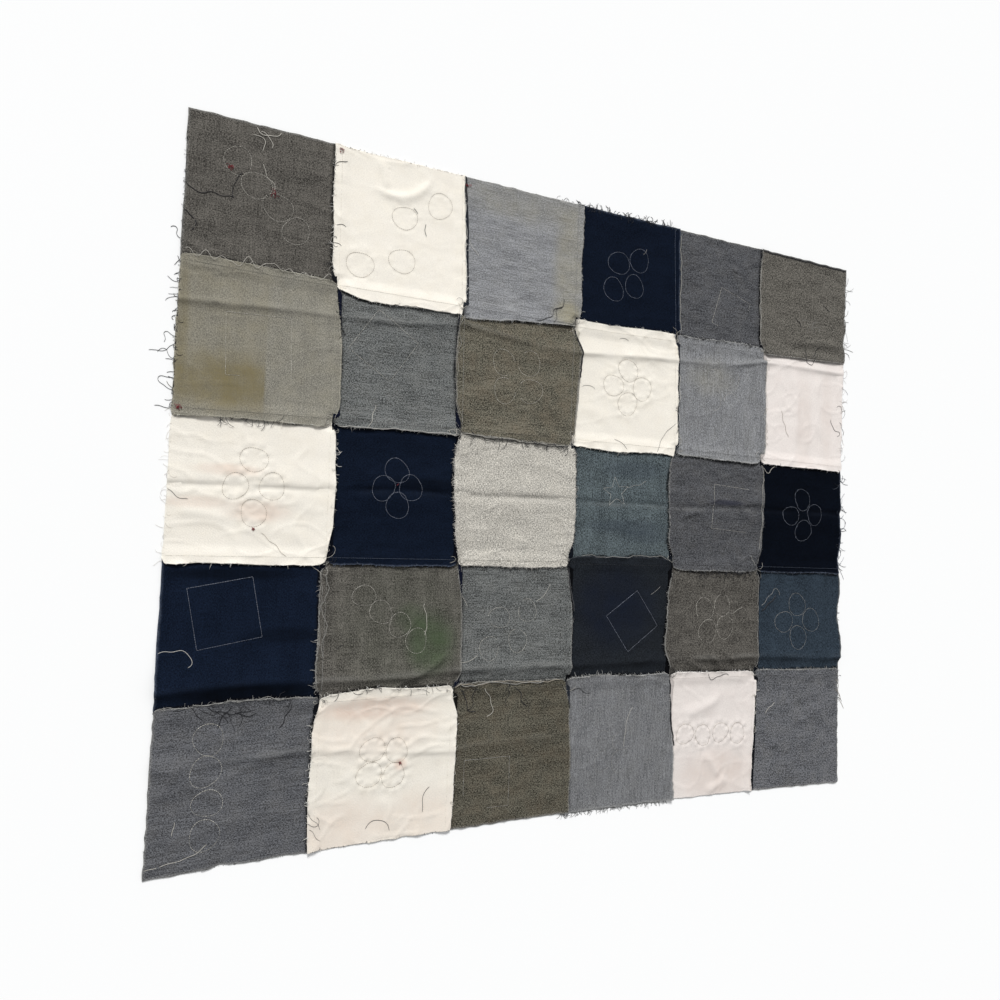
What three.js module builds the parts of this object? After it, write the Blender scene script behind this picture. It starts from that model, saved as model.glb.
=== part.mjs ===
// A patchwork quilt top: thirty cut squares sewn in five rows of six. It lies opened out with the wrong side
// up, so the raw seam allowances show. Millimetres: X runs along the rows, Y towards the first row, Z up.
import * as THREE from "three";

// Cloth and seams
const CLOTH = 1.6;
const SEAM_GAP = 0.4;
const LIP_CLEARANCE = 0.8;
const LIP_WIDTH = 9;
const LIP_UNEVENNESS = 0.3;
const LIP_CORNER_SQUEEZE = 0.96;
const RAMP = 4;
const TAPER = 7;
const LIP_RISE = CLOTH + LIP_CLEARANCE;
const LIP_REACH = LIP_WIDTH * (1 + LIP_UNEVENNESS) + 1.5;
const EDGE_MARGIN = 2;
const SQUARE_STEPS = [0.25, 0.5, 0.75];
const CREASE_ROOM = 0.15;
const PLAN_TURNS = 4;

// Frayed edges
const FRAY_HEIGHT = 0.9;
const FRAY_STRIP = 1.6;
const FRAY_GAP = 0.8;
const STRAND_WIDTH = 1.1;
const STRAND_TIP = 0.5;
const STRAND_BEND = { reach: 0.55, sway: 0.3 };
const STRAND_SHORTEST = 0.5;
const STRIP_STEPS = 24;
const STRIP_END = 0.01;

// Half the distance between opposite edges, used to read the line tables
const HALF_WIDTH = 610;
const HALF_HEIGHT = 510;

// Row lines from the top edge to the bottom edge: height of the line at its left end, middle and right end
const ROW_LINES = [
  { first: 511, middle: 505, last: 502 },
  { first: 303, middle: 298, last: 311 },
  { first: 100, middle: 106, last: 100 },
  { first: -97, middle: -97, last: -102 },
  { first: -306, middle: -293, last: -305 },
  { first: -515, middle: -503, last: -516 },
];

// Column lines from the left edge to the right edge: place of the line at its top, middle and bottom
const COLUMN_LINES = [
  { first: -607, middle: -609, last: -613 },
  { first: -401, middle: -397, last: -400 },
  { first: -212, middle: -198, last: -202 },
  { first: -2, middle: -6, last: 1 },
  { first: 193, middle: 204, last: 199 },
  { first: 402, middle: 396, last: 386 },
  { first: 614, middle: 604, last: 606 },
];

// Along each row seam, whether the upper or the lower square's allowance lies on top
const ROW_SEAM_ON_TOP = [
  ["lower", "upper", "upper", "lower", "lower", "upper"],
  ["upper", "upper", "upper", "upper", "upper", "upper"],
  ["upper", "upper", "upper", "lower", "upper", "upper"],
  ["lower", "lower", "lower", "lower", "lower", "lower"],
];

// Along each column seam of a row, whether the left or the right square's allowance lies on top
const COLUMN_SEAM_ON_TOP = [
  ["right", "left", "left", "left", "right"],
  ["left", "right", "left", "left", "left"],
  ["left", "right", "left", "right", "left"],
  ["right", "left", "left", "right", "left"],
  ["right", "left", "left", "left", "left"],
];

// Old fold creases that still stand: row of squares, share of the row's depth at the left and right edge,
// height of the ridge and reach to either side of it
const CREASES = [
  { row: 1, left: 0.27, right: 0.21, height: 4.2, reach: 15 },
  { row: 2, left: 0.42, right: 0.44, height: 4.6, reach: 18 },
  { row: 3, left: 0.78, right: 0.8, height: 4.0, reach: 15 },
  { row: 4, left: 0.32, right: 0.3, height: 2.6, reach: 16 },
];

// Frayed stretches of each edge: where they start and end along it, strands, their reach and their lean
const FRAYS = {
  frayed_left: [
    { from: 0.03, to: 0.45, strands: 10, reach: 8, lean: 0.4 },
    { from: 0.47, to: 0.74, strands: 10, reach: 16, lean: 0.45 },
    { from: 0.76, to: 0.97, strands: 8, reach: 10, lean: 0.4 },
  ],
  frayed_right: [
    { from: 0.03, to: 0.3, strands: 8, reach: 7, lean: 0.4 },
    { from: 0.32, to: 0.97, strands: 26, reach: 15, lean: 0.4 },
  ],
  frayed_top: [
    { from: 0.04, to: 0.47, strands: 12, reach: 5, lean: 0.35 },
    { from: 0.49, to: 0.66, strands: 15, reach: 13, lean: 0.35 },
    { from: 0.68, to: 0.97, strands: 9, reach: 5, lean: 0.35 },
  ],
  frayed_bottom: [
    { from: 0.04, to: 0.48, strands: 12, reach: 5, lean: 0.35 },
    { from: 0.5, to: 0.66, strands: 18, reach: 9, lean: 0.25 },
    { from: 0.68, to: 0.97, strands: 9, reach: 5, lean: 0.35 },
  ],
};

// The cloths, wrong side up
const CLOTHS = {
  charcoal_chambray: { color: "#5b5956", roughness: 0.9 },
  cream_twill: { color: "#f1ece1", roughness: 0.88 },
  pale_chambray: { color: "#868a93", roughness: 0.9 },
  navy_denim: { color: "#10182b", roughness: 0.85 },
  iron_grey_denim: { color: "#5a5b5e", roughness: 0.9 },
  umber_grey_twill: { color: "#65615c", roughness: 0.9 },
  stone_chambray: { color: "#84806f", roughness: 0.9 },
  ash_grey_denim: { color: "#65676a", roughness: 0.9 },
  olive_drab_twill: { color: "#5c584c", roughness: 0.9 },
  shell_white_twill: { color: "#e9e2de", roughness: 0.88 },
  oatmeal_canvas: { color: "#bdb9b0", roughness: 0.92 },
  slate_blue_denim: { color: "#4d555c", roughness: 0.9 },
  ink_black_denim: { color: "#1d2026", roughness: 0.85 },
  dark_slate_denim: { color: "#2f3942", roughness: 0.88 },
  cut_thread: { color: "#8d8f92", roughness: 0.85 },
};

// Which cloth each square is cut from, row by row
const LAYOUT = [
  [
    "charcoal_chambray", "cream_twill", "pale_chambray",
    "navy_denim", "iron_grey_denim", "umber_grey_twill",
  ],
  [
    "stone_chambray", "ash_grey_denim", "olive_drab_twill",
    "cream_twill", "pale_chambray", "shell_white_twill",
  ],
  [
    "cream_twill", "navy_denim", "oatmeal_canvas",
    "slate_blue_denim", "iron_grey_denim", "navy_denim",
  ],
  [
    "navy_denim", "charcoal_chambray", "ash_grey_denim",
    "ink_black_denim", "charcoal_chambray", "dark_slate_denim",
  ],
  [
    "iron_grey_denim", "cream_twill", "olive_drab_twill",
    "pale_chambray", "shell_white_twill", "iron_grey_denim",
  ],
];

const { clamp, lerp } = THREE.MathUtils;

// A line bent through its three given values, with along from -1 at its first end to 1 at its last.
function bent({ first, middle, last }, along) {
  return middle + ((last - first) / 2) * along + ((first + last) / 2 - middle) * along ** 2;
}

const rowLine = (i, x) => bent(ROW_LINES[i], x / HALF_WIDTH);
const columnLine = (j, y) => bent(COLUMN_LINES[j], -y / HALF_HEIGHT);

// A repeatable irregular number from -1 to 1.
function uneven(seed) {
  const wave = Math.sin(seed * 12.9898 + 4.1) * 43758.5453;
  return 2 * (wave - Math.floor(wave)) - 1;
}

// How far the cloth stands off the surface: the sum of straight-sided ridges along the creases.
function creaseHeight(x, y) {
  return CREASES.reduce((sum, crease) => {
    const away = Math.abs(y - creaseLine(crease, x));
    return sum + crease.height * Math.max(0, 1 - away / crease.reach);
  }, 0);
}

function creaseLine({ row, left, right }, x) {
  const share = lerp(left, right, (x / HALF_WIDTH + 1) / 2);
  return lerp(rowLine(row, x), rowLine(row + 1, x), share);
}

// Which sides of a square lie over their neighbours.
function lapsOf(row, column) {
  return {
    top: row > 0 && ROW_SEAM_ON_TOP[row - 1][column] === "lower",
    bottom: row < LAYOUT.length - 1 && ROW_SEAM_ON_TOP[row][column] === "upper",
    left: column > 0 && COLUMN_SEAM_ON_TOP[row][column - 1] === "right",
    right: column < LAYOUT[row].length - 1 && COLUMN_SEAM_ON_TOP[row][column] === "left",
  };
}

// How far from a row line the side lips of a square must stop, so that they clear the lips along that line.
function sideLipStart(row, columns, side) {
  const onEdge = side === "top" ? row === 0 : row === LAYOUT.length - 1;
  if (onEdge) return EDGE_MARGIN;
  const seam = ROW_SEAM_ON_TOP[side === "top" ? row - 1 : row];
  const lapsIn = side === "top" ? "upper" : "lower";
  return columns.some((column) => seam[column] === lapsIn) ? LIP_REACH : RAMP;
}

// The lines across a square from its top to its bottom. Each gives the height of a point on it for a given x,
// whether it is on a raised lip, and how far a side lip is lifted and spread there.
function crossLines(row, column, laps) {
  const top = (x) => rowLine(row, x);
  const bottom = (x) => rowLine(row + 1, x);
  const sideColumns = [column];
  if (laps.left) sideColumns.push(column - 1);
  if (laps.right) sideColumns.push(column + 1);
  const start = sideLipStart(row, sideColumns, "top");
  const end = sideLipStart(row, sideColumns, "bottom");
  const lines = [];
  const addLip = (side, edge, away) => {
    lines.push({ y: (x, k) => edge(x) + away * lipWidth(row, column, side, k), raised: 1, lipEdge: true });
    lines.push({ y: (x) => edge(x) - (away * SEAM_GAP) / 2, raised: 1 });
    lines.push({ y: (x) => edge(x) - away * RAMP, raised: 0 });
  };
  const addEdge = (edge, away, outer) =>
    lines.push({ y: (x) => edge(x) - (outer ? 0 : (away * SEAM_GAP) / 2), raised: 0 });

  if (laps.top) addLip(1, top, 1);
  else addEdge(top, 1, row === 0);
  if (laps.bottom) addLip(2, bottom, -1);
  else addEdge(bottom, -1, row === LAYOUT.length - 1);

  if (laps.left || laps.right) {
    const offsets = (from) => [from, from + RAMP, from + RAMP + TAPER];
    const kept = (from, lapped) => offsets(from).filter((d) => !(lapped && d <= RAMP));
    kept(start, laps.top).forEach((d) => lines.push({ y: (x) => top(x) - d, raised: 0 }));
    kept(end, laps.bottom).forEach((d) => lines.push({ y: (x) => bottom(x) + d, raised: 0 }));
  }
  const creases = CREASES.filter((crease) => crease.row === row);
  creases.forEach((crease) =>
    [-1, 0, 1].forEach((k) =>
      lines.push({ y: (x) => creaseLine(crease, x) + k * crease.reach, raised: 0 }),
    ),
  );
  SQUARE_STEPS.filter((share) => creases.every((crease) => Math.abs(crease.left - share) > CREASE_ROOM)).forEach(
    (share) => lines.push({ y: (x) => lerp(top(x), bottom(x), share), raised: 0 }),
  );

  const middle = (columnLine(column, 0) + columnLine(column + 1, 0)) / 2;
  lines.forEach((line) => {
    const height = line.y(middle, 0);
    const fromEnds = Math.min(top(middle) - height - start, height - bottom(middle) - end);
    line.lift = clamp(fromEnds / RAMP, 0, 1);
    line.spread = clamp((fromEnds - RAMP) / TAPER, 0, 1);
  });
  return lines.sort((a, b) => b.y(middle, 0) - a.y(middle, 0));
}

// The lines down a square from its left to its right. Each gives the x of a point on it for a given y and the
// cross line it is on, and whether it belongs to a side lip.
function downLines(row, column, laps) {
  const left = (y) => columnLine(column, y);
  const right = (y) => columnLine(column + 1, y);
  const lines = [];
  const addLip = (side, edge, away) => {
    const inset = SEAM_GAP / 2;
    const width = (k) => lipWidth(row, column, side, k);
    lines.push({ x: (y, at, k) => edge(y) + away * lerp(-inset, width(k), at.spread), lip: 1 });
    lines.push({ x: (y, at) => edge(y) - away * lerp(RAMP / 2, inset, at.spread), lip: 1 });
    lines.push({ x: (y) => edge(y) - away * RAMP, lip: 0 });
  };
  const addEdge = (edge, away, outer) =>
    lines.push({ x: (y) => edge(y) - (outer ? 0 : (away * SEAM_GAP) / 2), lip: 0 });

  if (laps.left) addLip(3, left, -1);
  else addEdge(left, -1, column === 0);
  SQUARE_STEPS.forEach((share) => lines.push({ x: (y) => lerp(left(y), right(y), share), lip: 0 }));
  const rightHand = lines.length;
  if (laps.right) addLip(4, right, 1);
  else addEdge(right, 1, column === LAYOUT[row].length - 1);
  return [...lines.slice(0, rightHand), ...lines.slice(rightHand).reverse()];
}

function lipWidth(row, column, side, k) {
  return LIP_WIDTH * (1 + LIP_UNEVENNESS * uneven(row * 97 + column * 31 + side * 11 + k));
}

// One square with its lips: a slab whose grid follows the cross lines and the down lines.
function squareGeometry(row, column) {
  const laps = lapsOf(row, column);
  const cross = crossLines(row, column, laps);
  const down = downLines(row, column, laps);
  const across = down.length - 1;
  const along = cross.length - 1;
  const slab = new THREE.BoxGeometry(across, along, 1, across, along, 1);
  const points = slab.getAttribute("position");
  for (let n = 0; n < points.count; n++) {
    const s = Math.round(points.getX(n) + across / 2);
    const t = Math.round(along / 2 - points.getY(n));
    const { x, y } = onPlan(down[s], cross[t], s, t, row, column);
    const rise = Math.max(cross[t].raised, cross[t].lift * down[s].lip) * LIP_RISE;
    const face = points.getZ(n) > 0 ? CLOTH : 0;
    points.setXYZ(n, x, y, creaseHeight(x, y) + rise + face);
  }
  slab.computeVertexNormals();
  return slab;
}

// Where a down line meets a cross line, found by following each in turn.
function onPlan(downLine, crossLine, s, t, row, column) {
  let y = (rowLine(row, 0) + rowLine(row + 1, 0)) / 2;
  let x = 0;
  for (let turn = 0; turn < PLAN_TURNS; turn++) {
    x = downLine.x(y, crossLine, t);
    if (crossLine.lipEdge) {
      const middle = (columnLine(column, y) + columnLine(column + 1, y)) / 2;
      x = middle + (x - middle) * LIP_CORNER_SQUEEZE;
    }
    y = crossLine.y(x, s);
  }
  return { x, y };
}

// The edge that each frayed strip runs along, as a point for a share of its length and the way out.
const EDGES = {
  frayed_left: { at: (share) => sidePoint(0, share), out: new THREE.Vector2(-1, 0) },
  frayed_right: { at: (share) => sidePoint(COLUMN_LINES.length - 1, share), out: new THREE.Vector2(1, 0) },
  frayed_top: { at: (share) => endPoint(0, share), out: new THREE.Vector2(0, 1) },
  frayed_bottom: { at: (share) => endPoint(ROW_LINES.length - 1, share), out: new THREE.Vector2(0, -1) },
};

function sidePoint(line, share) {
  const y = lerp(-HALF_HEIGHT, HALF_HEIGHT, share);
  return new THREE.Vector2(columnLine(line, y), y);
}

function endPoint(line, share) {
  const x = lerp(-HALF_WIDTH, HALF_WIDTH, share);
  return new THREE.Vector2(x, rowLine(line, x));
}

// A strip of loosened threads lying level beside one edge, with strands that taper out of it.
function frayedGeometry(name, stretches) {
  const { at, out } = EDGES[name];
  const length = at(0).distanceTo(at(1));
  const beside = (share, away) => at(share).addScaledVector(out, away);
  const shape = new THREE.Shape();
  const firstShare = stretches[0].from - STRIP_END;
  const lastShare = stretches[stretches.length - 1].to + STRIP_END;
  for (let k = 0; k <= STRIP_STEPS; k++) {
    const point = beside(lerp(firstShare, lastShare, k / STRIP_STEPS), FRAY_GAP);
    if (k === 0) shape.moveTo(point.x, point.y);
    else shape.lineTo(point.x, point.y);
  }
  const rim = FRAY_GAP + FRAY_STRIP;
  const end = beside(lastShare, rim);
  shape.lineTo(end.x, end.y);
  [...stretches].reverse().forEach((stretch, group) => {
    for (let k = stretch.strands - 1; k >= 0; k--) {
      const seed = group * 61 + k + name.length * 7;
      const root = lerp(stretch.from, stretch.to, (k + 0.5) / stretch.strands);
      const reach = stretch.reach * lerp(STRAND_SHORTEST, 1, (uneven(seed) + 1) / 2);
      const sway = (reach * stretch.lean * uneven(seed + 0.5)) / length;
      const half = STRAND_WIDTH / 2 / length;
      const bend = rim + reach * STRAND_BEND.reach;
      const lean = sway * STRAND_BEND.sway;
      const tip = STRAND_TIP / 2 / length;
      [
        beside(root + half, rim),
        beside(root + half + lean, bend),
        beside(root + tip + sway, rim + reach),
        beside(root - tip + sway, rim + reach),
        beside(root - half + lean, bend),
        beside(root - half, rim),
      ].forEach((point) => shape.lineTo(point.x, point.y));
    }
  });
  const start = beside(firstShare, rim);
  shape.lineTo(start.x, start.y);
  shape.closePath();
  return new THREE.ExtrudeGeometry(shape, { depth: FRAY_HEIGHT, bevelEnabled: false });
}

function clothMaterial(name) {
  const { color, roughness } = CLOTHS[name];
  return new THREE.MeshStandardMaterial({ name, color, roughness, metalness: 0 });
}

function addPiece(group, name, geometry, cloth) {
  const mesh = new THREE.Mesh(geometry, clothMaterial(cloth));
  mesh.name = name;
  group.add(mesh);
}

const quiltTop = new THREE.Group();
LAYOUT.forEach((cloths, row) =>
  cloths.forEach((cloth, column) =>
    addPiece(quiltTop, `patch_r${row + 1}_c${column + 1}`, squareGeometry(row, column), cloth),
  ),
);
Object.entries(FRAYS).forEach(([name, stretches]) =>
  addPiece(quiltTop, name, frayedGeometry(name, stretches), "cut_thread"),
);

// The origin is the middle of the box, on the surface that the cloth lies on.
const box = new THREE.Box3().setFromObject(quiltTop);
const middle = box.getCenter(new THREE.Vector3());
quiltTop.position.set(-middle.x, -middle.y, -box.min.z);

export default quiltTop;
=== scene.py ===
"""Dress a patchwork quilt top: thirty cut squares, opened out wrong side up, with raw seams and threads.

Shapes are worked out in millimetres on the quilt's own plan, with X along the rows, Y towards the first row
and Z up, and moved into the frame, in metres, when a mesh is written.
"""
from __future__ import annotations

import logging
import math
from dataclasses import dataclass, field
from enum import Enum, IntEnum

import bpy
import numpy as np
from mathutils import Matrix, Vector


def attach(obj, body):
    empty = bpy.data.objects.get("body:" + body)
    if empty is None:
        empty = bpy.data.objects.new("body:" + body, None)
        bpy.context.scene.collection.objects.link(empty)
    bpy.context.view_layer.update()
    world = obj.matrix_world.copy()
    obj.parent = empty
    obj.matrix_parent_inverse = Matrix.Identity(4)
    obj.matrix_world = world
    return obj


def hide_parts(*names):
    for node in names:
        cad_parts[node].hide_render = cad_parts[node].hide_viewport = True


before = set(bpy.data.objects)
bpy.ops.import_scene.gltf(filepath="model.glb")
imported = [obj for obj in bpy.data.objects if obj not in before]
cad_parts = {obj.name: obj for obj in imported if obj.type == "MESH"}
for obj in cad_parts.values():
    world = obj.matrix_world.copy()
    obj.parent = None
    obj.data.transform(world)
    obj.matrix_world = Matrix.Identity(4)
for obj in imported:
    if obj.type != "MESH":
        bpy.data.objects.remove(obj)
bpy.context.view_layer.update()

LOG = logging.getLogger("quilt_top")
Array = np.ndarray
Color = tuple[float, float, float]
Pair = tuple[float, float]
Cell = tuple[int, int]
Chance = np.random.Generator
Material = bpy.types.Material
Piece = bpy.types.Object
MM = 0.001

# The frame's origin is the middle of the box that holds the threads too, a little off the plan's middle
PLAN_SHIFT = (-2.605, 0.858)
ROWS = 5
COLUMNS = 6


def linear(code: str) -> Color:
    """Give a hex colour as linear light from 0 to 1, by the usual display curve."""
    parts = [int(code[i:i + 2], 16) / 255 for i in (1, 3, 5)]
    return tuple(p / 12.92 if p <= 0.04045 else ((p + 0.055) / 1.055) ** 2.4 for p in parts)


def smooth(x: Array) -> Array:
    """Rise softly from 0 at 0 to 1 at 1."""
    x = np.clip(x, 0.0, 1.0)
    return x * x * (3.0 - 2.0 * x)


def rounded(x: Array) -> Array:
    """Rise from 0 at 0 to 1 at 1 as a quarter of a circle."""
    return np.sqrt(np.maximum(1.0 - (1.0 - np.clip(x, 0.0, 1.0)) ** 2, 0.0))


def mixed(a: Color, b: Color, share: float) -> Color:
    """Blend two colours by a share of the second."""
    return tuple(p + (q - p) * share for p, q in zip(a, b))


def rows_of(kind: type, table: dict[tuple, tuple]) -> tuple:
    """Make a record of each row of a table, with the parts of the row's key first."""
    return tuple(kind(*key, *row) for key, rows in table.items() for row in rows)


class Seed(IntEnum):
    """Where each kind of chance starts; a few add a row, column or seam to it."""

    OUTLINE_WOBBLE = 5
    SWELL = 11
    RIPPLE = 12
    SEAM_THREAD = 17
    COLUMN_PUCKER = 21
    ROW_PUCKER = 22
    CROSSING = 23
    LOOSE_END = 31
    FOLD_LINE = 41
    FOLD_STRENGTH = 51
    EDGE_THREAD = 60
    WRINKLE = 61
    WRINKLE_PATCH = 71
    UPRIGHT_NICK = 71
    LEVEL_NICK = 72
    ROW_LIP = 100
    FOLD_MARK = 151
    COLUMN_LIP = 300
    SOIL = 810
    LIP_CURL = 900


@dataclass(frozen=True)
class Unevenness:
    """A smooth irregular field: a sum of sine waves with directions, lengths and phases from a seed."""

    seed: int
    length: float
    terms: int = 10

    def at(self, x: Array, y: Array | float = 0.0) -> Array:
        """Sum the waves at the given points.

        Args:
            x: Places along X in millimetres.
            y: Places along Y in millimetres.

        Returns:
            Values about 0, mostly within -1.5 and 1.5.
        """
        rng = np.random.default_rng(self.seed)
        turns = rng.uniform(0, 2 * math.pi, self.terms)
        lengths = self.length * rng.uniform(0.6, 1.7, self.terms)
        phases = rng.uniform(0, 2 * math.pi, self.terms)
        total = np.zeros(np.broadcast(x, y).shape)
        for turn, length, phase in zip(turns, lengths, phases):
            total += np.sin((x * math.cos(turn) + y * math.sin(turn)) * 2 * math.pi / length + phase)
        return total / math.sqrt(self.terms / 2)


class Lap(Enum):
    """What a square's allowance does along one of its sides."""

    OVER = "lies over the neighbour"
    UNDER = "is turned back on its own square"
    RAW = "ends at the outer edge"


class Side(Enum):
    """The four sides of a square."""

    TOP = "top"
    BOTTOM = "bottom"
    LEFT = "left"
    RIGHT = "right"

    @property
    def upright(self) -> bool:
        """Say whether the side runs up and down."""
        return self in (Side.LEFT, Side.RIGHT)


@dataclass(frozen=True)
class BentLine:
    """A seam line bent through three places, from its first end over its middle to its last end."""

    first: float
    middle: float
    last: float

    def at(self, along: Array) -> Array:
        """Follow the parabola through the three places, with along from -1 to 1."""
        half = (self.last - self.first) / 2
        return self.middle + half * along + ((self.first + self.last) / 2 - self.middle) * along**2


@dataclass(frozen=True)
class LipShape:
    """An odd lip: the share of the usual width at its two ends, and how far each end takes to round off."""

    start: float = 1.0
    end: float = 1.0
    start_round: float = 17.0
    end_round: float = 17.0


def lip_shapes(table: dict[Cell, tuple]) -> dict[Cell, LipShape]:
    """Make the lip shape of each row of a table."""
    return {place: LipShape(*shape) for place, shape in table.items()}


# Row lips by seam and column, from the left; column lips by row and seam, from the top
ODD_ROW_LIPS = lip_shapes({
    (0, 0): (0.9, 0.7, 6, 30), (0, 1): (1.2, 1.6, 46, 3), (0, 2): (1.6, 0.05, 6, 4),
    (0, 3): (1.0, 1.45, 3, 5), (0, 4): (1.3, 1.3, 8, 8), (0, 5): (0.3, 0.15, 10, 3),
    (1, 1): (1.0, 1.0, 24, 14), (1, 2): (0.8, 1.1, 34, 12), (1, 3): (1.0, 1.7, 10, 6),
    (2, 2): (0.8, 0.8, 8, 8), (2, 3): (1.4, 1.3, 40, 34), (2, 4): (1.0, 1.0, 26, 26),
    (3, 1): (1.0, 1.2, 24, 12), (3, 5): (1.0, 1.0, 12, 5),
})
ODD_COLUMN_LIPS = lip_shapes({
    (0, 0): (1.0, 1.0, 0.5, 26), (0, 1): (0.3, 0.5, 0.5, 6), (0, 2): (1.0, 1.0, 0.5, 12),
    (0, 3): (0.9, 0.9, 0.5, 10), (0, 4): (1.0, 1.0, 0.5, 17), (1, 0): (0.9, 1.0, 60, 26),
    (1, 1): (1.0, 1.0, 20, 40), (1, 2): (1.75, 0.7, 36, 20), (1, 3): (0.5, 0.55, 34, 12),
    (2, 0): (1.0, 0.8, 26, 46), (2, 1): (1.0, 1.0, 24, 40), (2, 2): (1.0, 1.0, 20, 34),
    (2, 3): (1.6, 1.5, 20, 30), (2, 4): (1.0, 0.9, 24, 42), (3, 1): (0.9, 1.0, 54, 20),
    (3, 2): (0.9, 1.0, 80, 18), (3, 3): (1.5, 1.4, 44, 44), (3, 4): (0.5, 0.5, 17, 17),
    (4, 0): (1.1, 0.8, 30, 0.5), (4, 1): (1.0, 1.0, 36, 0.5), (4, 2): (0.9, 1.0, 34, 0.5),
    (4, 3): (0.05, 1.7, 90, 0.5), (4, 4): (0.6, 0.02, 3, 0.5),
})


@dataclass(frozen=True)
class SeamPlan:
    """Where the seams run, which allowance lies on top, and how wide it laps."""

    half_width: float = 610.0
    half_height: float = 510.0
    lip_width: float = 9.0
    turned_share: float = 0.84
    stop_at_lip: float = 11.0
    long_taper: float = 28.0
    stop_at_seam: float = 5.0
    stop_at_edge: float = -1.5
    lip_wave: float = 0.12
    lip_wave_length: float = 150.0
    lip_nick: float = 0.045
    lip_nick_length: float = 12.0
    row_lines: tuple[BentLine, ...] = (
        BentLine(511, 505, 502), BentLine(303, 298, 311), BentLine(100, 106, 100),
        BentLine(-97, -97, -102), BentLine(-306, -293, -305), BentLine(-515, -503, -516),
    )
    column_lines: tuple[BentLine, ...] = (
        BentLine(-607, -609, -613), BentLine(-401, -397, -400), BentLine(-212, -198, -202),
        BentLine(-2, -6, 1), BentLine(193, 204, 199), BentLine(402, 396, 386), BentLine(614, 604, 606),
    )
    # One letter for each square's seam: the Upper or Lower, Left or Right square's allowance lies on top
    row_seams: tuple[str, ...] = ("LUULLU", "UUUUUU", "UUULUU", "LLLLLL")
    column_seams: tuple[str, ...] = ("RLLLR", "LRLLL", "LRLRL", "RLLRL", "RLLLL")

    def row_line(self, i: int, x: Array) -> Array:
        """Give the height of row line i at x."""
        return self.row_lines[i].at(x / self.half_width)

    def column_line(self, j: int, y: Array) -> Array:
        """Give the place of column line j at height y."""
        return self.column_lines[j].at(-y / self.half_height)

    @staticmethod
    def seam(row: int, column: int, side: Side) -> int:
        """Give the number of the seam on a square's side, from 0 at the first row or column."""
        return {Side.TOP: row - 1, Side.BOTTOM: row, Side.LEFT: column - 1, Side.RIGHT: column}[side]

    def lap(self, row: int, column: int, side: Side) -> Lap:
        """Tell what a square's allowance does on one side.

        Args:
            row: The square's row, from 0.
            column: The square's column, from 0.
            side: The side asked for.

        Returns:
            The lap of that side.
        """
        seam = self.seam(row, column, side)
        if not 0 <= seam < (COLUMNS if side.upright else ROWS) - 1:
            return Lap.RAW
        letter = self.column_seams[row][seam] if side.upright else self.row_seams[seam][column]
        own = {Side.TOP: "L", Side.BOTTOM: "U", Side.LEFT: "R", Side.RIGHT: "L"}[side]
        return Lap.OVER if letter == own else Lap.UNDER

    def middle(self, row: int, column: int) -> Pair:
        """Find the middle of a square by stepping between its lines."""
        x = y = 0.0
        for _ in range(4):
            x = (self.column_line(column, y) + self.column_line(column + 1, y)) / 2
            y = (self.row_line(row, x) + self.row_line(row + 1, x)) / 2
        return float(x), float(y)

    def row_lip(self, seam: int, column: int, x: Array) -> Array:
        """Give the width of the lip on a row seam: uneven, and rounded off towards the crossings.

        Args:
            seam: The row seam, from 0.
            column: The column, from 0.
            x: Places along the seam.

        Returns:
            The lip's width at each place.
        """
        y = self.row_line(seam + 1, x)
        start = x - self.column_line(column, y)
        end = self.column_line(column + 1, y) - x
        usual = LipShape(1, 1, 5 if column == 0 else 17, 5 if column == COLUMNS - 1 else 17)
        shape = ODD_ROW_LIPS.get((seam, column), usual)
        return self._uneven(Seed.ROW_LIP + seam * 10 + column, x) * self._shaped(shape, start, end, math.inf)

    def column_ends(self, seam: int, row: int, x: Array, y: Array, lip: bool) -> tuple[Array, Array]:
        """Measure how far a place on a column seam is past the stop of each end of its allowance.

        Args:
            seam: The column seam, from 0.
            row: The row, from 0.
            x: Places across.
            y: Places along the seam.
            lip: True for the allowance on top, False for the one turned back below it.

        Returns:
            Distance past the upper stop, and past the lower one.
        """
        upper = self._stop(row - 1, seam, "U", lip)
        lower = self._stop(row, seam, "L", lip)
        return self.row_line(row, x) - y - upper, y - self.row_line(row + 1, x) - lower

    def column_lip(self, seam: int, row: int, x: Array, y: Array) -> Array:
        """Give the width of the lip on a column seam, rounded off before it meets a row seam's lip."""
        upper, lower = self.column_ends(seam, row, x, y, True)
        shape = ODD_COLUMN_LIPS.get((row, seam), LipShape())
        width = self._uneven(Seed.COLUMN_LIP + seam * 10 + row, y)
        return width * self._shaped(shape, upper, lower, self.long_taper)

    def turned(self, seed: int, along: Array) -> Array:
        """Give the width of the allowance turned back below a lip, a little less than the lip's own."""
        return self._uneven(seed, along) * self.turned_share

    def _shaped(self, shape: LipShape, start: Array, end: Array, long_taper: float) -> Array:
        """Give a lip's share of its usual width: even from one end to the other, and rounded off at both."""
        along = np.clip(start / np.maximum(start + end, 1.0), 0.0, 1.0)
        width = shape.start + (shape.end - shape.start) * along
        for past, length in ((start, shape.start_round), (end, shape.end_round)):
            width = width * (smooth(past / length) if length > long_taper else rounded(past / length))
        return width

    def _uneven(self, seed: int, along: Array) -> Array:
        """Vary a lip's width in long waves and in small nicks."""
        waves = self.lip_wave * Unevenness(seed, self.lip_wave_length).at(along)
        nicks = self.lip_nick * Unevenness(seed + 1, self.lip_nick_length).at(along)
        return self.lip_width * np.clip(1 + (waves + nicks), 0.5, 1.5)

    def _stop(self, row_seam: int, column_seam: int, lapping: str, lip: bool) -> float:
        """Say how far from a row line a column seam's allowance stops."""
        if not 0 <= row_seam < ROWS - 1:
            return self.stop_at_edge
        letters = self.row_seams[row_seam][column_seam:column_seam + 2]
        reached = self.stop_at_lip if lapping in letters else self.stop_at_seam
        return reached if lip else reached * 0.6


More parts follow.
